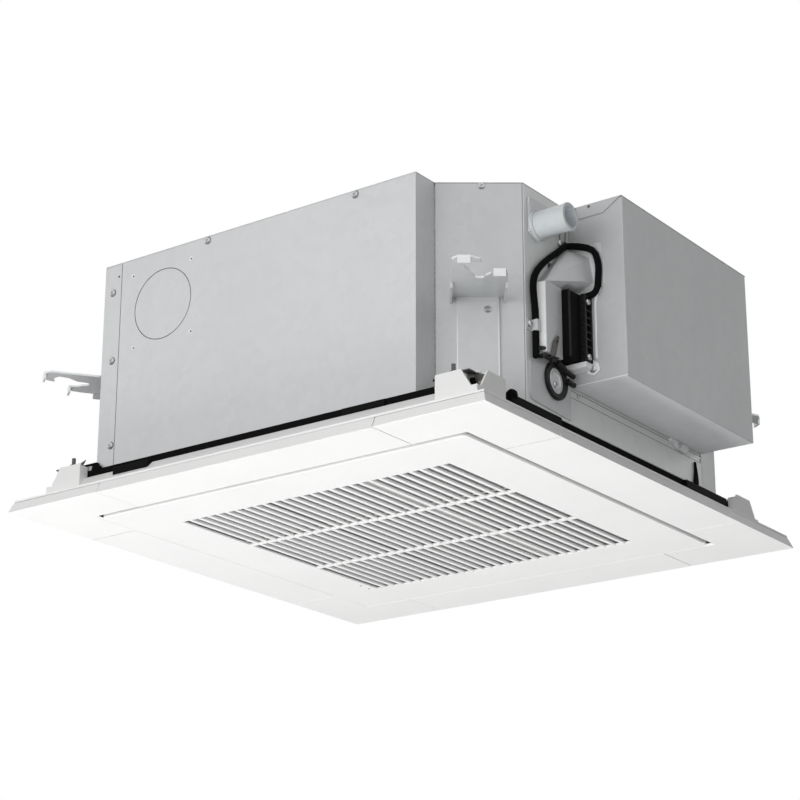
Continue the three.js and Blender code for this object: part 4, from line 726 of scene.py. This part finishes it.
def wiring_block():
    """A deep black base, painted shade standing for the deep recess on the left, and a ladder of ribs on the
    right.
    """
    base_x = SIDE_X + 21.8 * MM
    base = bar("wiring_block", BLOCK_LOW, (base_x, BLOCK_HIGH[1], BLOCK_HIGH[2]), "deep_black")
    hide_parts("wiring_entry")
    rails = ((BLOCK_HIGH[1] - 15 * MM, BLOCK_HIGH[1] - 12.6 * MM), (BLOCK_HIGH[1] - 2 * MM, BLOCK_HIGH[1]))
    for i, (near, far) in enumerate(rails):
        high = (BLOCK_HIGH[0], far, BLOCK_HIGH[2])
        bar("block_rail_%d" % i, (base_x, near, BLOCK_LOW[2]), high, "black_plastic")
    rungs = 10
    rung = 2 * MM
    pitch = (BLOCK_HIGH[2] - BLOCK_LOW[2] - rung) / (rungs - 1)
    for i in range(rungs):
        z = BLOCK_LOW[2] + i * pitch
        low = (base_x, rails[0][0] - 1.2 * MM, z)
        high = (BLOCK_HIGH[0] - 0.6 * MM, rails[1][1] - 0.3 * MM, z + rung)
        bar("block_rung_%d" % i, low, high, "black_plastic")
    low = (base_x - 0.5 * MM, BLOCK_LOW[1], BLOCK_LOW[2])
    bar("block_edge", low, (base_x + 1.6 * MM, BLOCK_LOW[1] + 2 * MM, BLOCK_HIGH[2]), "black_plastic")
    for name, y, z in (("high", -112, 175.5), ("low", -112.6, 107.6)):
        screw("screw_block_" + name, mm(BLOCK_HIGH[0] / MM - 0.2, y, z), SIDEWARD, 3.8 * MM)


def clamp_and_lever():
    """The cable clamp's ring and plate, the lever beside it and the crumpled seals under it."""
    centre = Vector((CLAMP_LOW[0], (CLAMP_LOW[1] + CLAMP_HIGH[1]) / 2, (CLAMP_LOW[2] + CLAMP_HIGH[2]) / 2))
    rim = [(15.4, 0.3), (22.5, 0), (22.5, 3.9), (21.4, 5), (19.4, 5), (18.9, 4.5), (16.4, 4.6), (15.4, 3.9)]
    ring = turned("clamp_ring", scaled(rim), centre, SIDEWARD, "black_plastic", sides=48)
    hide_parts("cable_clamp")
    plate = [(0, 0.4), (15.6, 0.4), (15.6, 1.6), (11.4, 1.6), (10.6, 2.6), (9.4, 2.6), (8.6, 1.6), (0, 1.6)]
    turned("clamp_plate", scaled(plate), centre, SIDEWARD, "pale_sheet_and_painted_light", sides=48)
    screw("screw_clamp", centre + mm(1.9, -2.4, -4.8), SIDEWARD, 3.6 * MM)
    lever = [(-164.3, 114.4), (-156.5, 123.8), (-153, 122.6), (-160.5, 98.4), (-171, 95.2)]
    flat_piece("lever", raised(on_side, 14.2), lever, SIDEWARD * 1.4, "dark_steel_and_painted_shade")
    # A black disc for the lever's hole: painted shade.
    hole = scaled([(0, -0.2), (1.7, -0.2), (1.7, 0.1), (0, 0.1)])
    turned("lever_hole", hole, on_side(-158.5, 115.5, 15.7), SIDEWARD, "black_plastic", sides=16)
    arms = {
        "upper": ([(-164, 92), (-153, 98), (-145, 104), (-139.5, 108.7)], 2.6, 10),
        "middle": ([(-146, 96), (-136, 93), (-126, 89), (-112.9, 88)], 3.2, 8),
        "lower": ([(-126, 80), (-121, 77), (-112, 78)], 3.2, 8),
        "left": ([(-186, 101), (-179, 103), (-170, 104), (-163, 99)], 2.4, 10),
        "crumple": ([(-182, 92), (-176, 97), (-170, 94), (-165, 96)], 2.8, 9),
    }
    for name, (route, radius, out) in arms.items():
        places = [on_side(y, z, out) for y, z in route]
        strand("clamp_arm_" + name, places, radius * MM, "black_plastic")


# In mm: the ends of the side plate's seams, and the height and length of the channel beside the pipe cover.
SEAM_NEAR, SEAM_FAR = -107, 198
CHANNEL_LOW, CHANNEL_LENGTH = 100, 84
SHEET_INSET = 1 * MM


def side_details():
    """Plates, seams, clips and brackets on the right side, and what lies below the electrical box."""
    skirt = [
        (-193, 86), (-194, 47), (-191.6, 42.4), (-187, 40.4), (-150, 38.9), (-108, 37.4),
        (-108, 74), (-120, 90.5), (-165, 90.5),
    ]
    flat_piece("skirt_plate", on_side, skirt, SIDEWARD * 1.2, "galvanised")
    # Dark lines on the seam and the fold: painted shade in the grooves.
    for name, low, high in (("side_seam", 74.8, 75.4), ("side_fold", 66.6, 67.2)):
        line = rectangle((SEAM_NEAR, low), (SEAM_FAR, high))
        flat_piece(name, on_side, line, SIDEWARD * LINE_HEIGHT, "dark_steel_and_painted_shade", 0)
    screw("screw_side_seam", on_side(-91, 72.4), SIDEWARD, 3 * MM)
    bracket = [(117, 78.4), (117, 74), (127, 73.5), (133, 69), (150, 67), (160, 70), (160, 78.4)]
    flat_piece("under_box_bracket", on_side, bracket, SIDEWARD * 4, "pale_sheet_and_painted_light", 0.6)
    screw("screw_under_box", on_side(138, 73.6, 4), SIDEWARD, 3.6 * MM)
    # Dark patches on the slots: painted shade in the holes.
    for i, (low, high) in enumerate(((68, 72), (74, 78.4))):
        hole = rectangle((194.6, low), (197.6, high))
        flat_piece("side_slot_%d" % i, on_side, hole, SIDEWARD * LINE_HEIGHT, "dark_steel_and_painted_shade", 0)
    spike = [(175, 35), (186, 35), (184.5, 47), (181, 63), (179, 64), (178, 50)]
    flat_piece("foam_spike", on_side, spike, SIDEWARD * 3, "black_foam", 0.8)
    # A pale sheet just under the electrical box: painted light on its underside.
    near_left = (BOX_LOW[0] + SHEET_INSET, BOX_LOW[1] + SHEET_INSET)
    far_right = (BOX_HIGH[0] - SHEET_INSET, BOX_HIGH[1] - SHEET_INSET)
    sheet = [Vector((x, y, BOX_LOW[2] - 0.35 * MM)) for x, y in rectangle(near_left, far_right)]
    extruded("box_under_painted_light", sheet, mm(0, 0, 0.3), "pale_sheet_and_painted_light", bevel=0)
    clip = rectangle((-189, 122), (-180.5, 136))
    flat_piece("foam_clip", on_side, clip, SIDEWARD * 9, "corner_sheet_painted_shade", 1.2)
    foot = [(-198.6, 122), (-189, 121), (-189, 137), (-197, 136)]
    flat_piece("foam_clip_foot", on_side, foot, SIDEWARD * 1.3, "box_sheet_painted_shade")
    screw("screw_clip", on_side(-193.2, 129.6, 1.3), SIDEWARD, 4 * MM)
    channel_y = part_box("pipe_cover")[0][1]
    wedge = ((0, -7.5), (0, -0.1), (12.8, -0.1), (12.8, -0.5))
    plan = [Vector((SIDE_X + out * MM, channel_y + y * MM, CHANNEL_LOW * MM)) for out, y in wedge]
    extruded("channel_face", plan, mm(0, 0, CHANNEL_LENGTH), "pale_sheet_and_painted_light", bevel=0.2 * MM)
    tail = [(344.6, 198), (343.6, 191), (339, 186.4), (331, 184.6), (322, 185.6)]
    places = [on_near_face(x, z, 4.3) for x, z in tail]
    strand("gasket_tail", places, 4 * MM, "black_foam")


# ---------------------------------------------------------------- panel details
FILTER_RIM = 9 * MM
NET_HALF = 0.15 * MM


def filter_net():
    """The net inside the air filter's rim."""
    middle = (FILTER_LOW[2] + FILTER_HIGH[2]) / 2
    low = (FILTER_LOW[0] + FILTER_RIM, FILTER_LOW[1] + FILTER_RIM, middle - NET_HALF)
    high = (FILTER_HIGH[0] - FILTER_RIM, FILTER_HIGH[1] - FILTER_RIM, middle + NET_HALF)
    bar("filter_net", low, high, "net", BODY_OF["air_filter"], 0)


def edge_pads():
    """Rubber pads above the panel's edge, and a pale strip on the front cover's bottom edge that is painted
    highlight.
    """
    pads = {
        "front_left": ((-212, -314.6, 16), (-156, -300, 25.5)),
        "front_right": ((127, -306.4, 25), (187, -300, 33)),
        "side_near": ((300, -235, 24), (308, -133, 34)),
        "side_far": ((300, 152, 24), (308, 255, 34)),
    }
    for name, (low, high) in pads.items():
        bar("rubber_pad_" + name, mm(*low), mm(*high), "deep_black", bevel=1 * MM)
    # Painted highlight along the front cover's bottom edge.
    low, high = mm(-250, FRONT_Y / MM - 0.8, 34.2), mm(STEP_X / MM, FRONT_Y / MM, 36.6)
    bar("front_bottom_edge", low, high, "pale_sheet_and_painted_light", bevel=0.2 * MM)


def corner_trims():
    """The fold, screw, foam strip and wedge at each corner's bolt plate."""
    fold_plan = ((287, -315), (288, -315), (306, -296), (305.6, -295))
    strip_plan = rectangle((250, -303.5), (298, -297.5))
    wedge_side = ((272, 50.5), (315, 35.8), (317, 29), (285, 32))
    for corner in CORNER_SIGNS:
        fold = [mirrored(corner, mm(x, y, 25)) for x, y in fold_plan]
        extruded("bolt_plate_fold_" + corner, fold, mm(0, 0, 13.2), "dark_steel_and_painted_shade", bevel=0.2 * MM)
        place = mirrored(corner, mm(303, -298.5, 39.8))
        screw("screw_bolt_plate_" + corner, place, UPWARD, 5.6 * MM)
        strip = [mirrored(corner, mm(x, y, 40)) for x, y in strip_plan]
        extruded("foam_strip_" + corner, strip, mm(0, 0, 2.4), "black_foam", bevel=0.3 * MM)
        wedge = [mirrored(corner, mm(x, -300, z)) for x, z in wedge_side]
        deep = mirrored(corner, mm(0, 1.2, 0))
        extruded("bolt_wedge_" + corner, wedge, deep, "dark_steel_and_painted_shade", bevel=0.2 * MM)


def seam_shade_strips():
    """Dark strips behind the seams between the flaps and the corner covers: painted shade in the gaps."""
    near, far = FLAP_END + 0.15, FLAP_END + 2
    for quarter in range(4):
        turn = Matrix.Rotation(math.pi / 2 * quarter, 3, "Z")
        for side in (-1, 1):
            strip = rectangle((near, -345), (far, -274.5))
            plan = [turn @ mm(side * x, y, FLAP_SOLID_Z - 0.3) for x, y in strip]
            extruded("seam_shade_strip_%d_%d" % (quarter, side + 1), plan, mm(0, 0, 0.4), "dark_steel_and_painted_shade", bevel=0)


def latch_dots():
    """Two small marks beside a latch, on the grille's face."""
    dot = scaled([(0, -0.3), (1.6, -0.3), (1.6, 0.08), (0, 0.08)])
    for i, y in enumerate((173, 192)):
        place = mm(-209, y, GRILLE_FACE_Z)
        turned("latch_dot_%d" % i, dot, place, -UPWARD, "dark_steel_and_painted_shade", BODY_OF["intake_grille"], sides=16)


def seal_bulbs():
    """Rounded ends of the foam seal, and the stud beside the near corner's bolt."""
    bulb = scaled([(0, -6), (4, -5.6), (6.4, -3), (7, 0), (6.4, 3), (4, 5.6), (0, 6)])
    turned("seal_bulb_near", bulb, mm(304, -230, 34), (0.3, 1, 0), "black_foam", sides=24)
    turned("seal_bulb_left", bulb, mm(-251, -301, 33), SIDEWARD, "black_foam", sides=24)
    stud = scaled([(0, 0), (3.4, 0), (3.4, 5), (2.2, 6.5), (0, 6.5)])
    turned("corner_stud", stud, mm(312.5, -298, 25), FORWARD, "brass", sides=16)


FINE_BEVEL, PLAIN_BEVEL = 0.3 * MM, 0.5 * MM
for node in frame["nodes"]:
    if node in ("wiring_entry", "cable_clamp"):
        continue
    fine = node.startswith(("grille", "air", "panel_bolt"))
    look = "dark_steel_and_painted_shade" if node.startswith("panel_bolt") else LOOK_OF.get(node)
    softened(node, FINE_BEVEL if fine else PLAIN_BEVEL, look)
casing_screws()
dimples()
hook_legs()
drain_details()
near_face_details()
wiring_block()
clamp_and_lever()
side_details()
filter_net()
edge_pads()
corner_trims()
bar("seal_end_left", mm(-276, -303, 26), mm(-258, -299, 40), "slot_grey", bevel=1.5 * MM)
seam_shade_strips()
latch_dots()
seal_bulbs()


# ---------------------------------------------------------------- floor, light and background
FLOOR_Z = -2.45
FLOOR_SIDE = 40.0


def background(shader_nodes, links, lit, shown):
    """Mixes what lights the object with what the camera, metal and glass see behind it."""
    path = shader_nodes.new("ShaderNodeLightPath")
    seen = path.outputs["Is Camera Ray"]
    for other in ("Is Glossy Ray", "Is Transmission Ray"):
        either = shader_nodes.new("ShaderNodeMath")
        either.operation = "MAXIMUM"
        links.new(seen, either.inputs[0])
        links.new(path.outputs[other], either.inputs[1])
        seen = either.outputs[0]
    mix = shader_nodes.new("ShaderNodeMixShader")
    links.new(seen, mix.inputs[0])
    links.new(lit, mix.inputs[1])
    links.new(shown, mix.inputs[2])
    return mix.outputs[0]


def add_world(ambient, shown):
    world = bpy.data.worlds.new("studio")
    bpy.context.scene.world = world
    world.use_nodes = True
    nodes, links = world.node_tree.nodes, world.node_tree.links
    nodes.clear()
    lit = nodes.new("ShaderNodeBackground")
    lit.inputs["Color"].default_value = (1, 1, 1, 1)
    lit.inputs["Strength"].default_value = ambient
    white = nodes.new("ShaderNodeBackground")
    white.inputs["Color"].default_value = (1, 1, 1, 1)
    white.inputs["Strength"].default_value = shown
    out = nodes.new("ShaderNodeOutputWorld")
    result = background(nodes, links, lit.outputs[0], white.outputs[0])
    links.new(result, out.inputs["Surface"])


def add_floor():
    bm = bmesh.new()
    bmesh.ops.create_grid(bm, x_segments=1, y_segments=1, size=FLOOR_SIDE / 2)
    bmesh.ops.translate(bm, verts=bm.verts, vec=(0, 0, FLOOR_Z))
    floor = from_bmesh("floor", bm)
    floor.data.materials.append(moulded("floor_paint", 0.82, (1, 1, 1), 0.8, 0.02).material)
    bpy.context.collection.objects.link(floor)


def lamp(name, size, power, place, target):
    data = bpy.data.lights.new(name, "AREA")
    data.shape = "DISK"
    data.size = size
    data.energy = power
    light = bpy.data.objects.new(name, data)
    aim = (Vector(target) - Vector(place)).to_track_quat("-Z", "Y")
    light.matrix_world = Matrix.Translation(place) @ aim.to_matrix().to_4x4()
    light.visible_camera = False
    light.visible_glossy = False
    bpy.context.collection.objects.link(light)


MIDDLE = (0, 0, 0.12)
# Name, width, power and place of each lamp.
LAMPS = (
    ("key", 2.2, 51, (0.0, -3.1, -0.2)),
    ("fill", 1.0, 11, (1.8, -1.9, -0.25)),
    ("below", 1.8, 49, (-0.6, -0.8, -2.15)),
    ("below_right", 1.2, 12, (1.1, -1.0, -2.1)),
    ("above", 2.0, 25, (-0.6, 0.5, 3.2)),
)
add_camera()
add_floor()
add_world(ambient=0.15, shown=1.0)
for lamp_name, width, power, place in LAMPS:
    lamp(lamp_name, width, power, place, MIDDLE)
bpy.context.scene.view_settings.view_transform = "Standard"
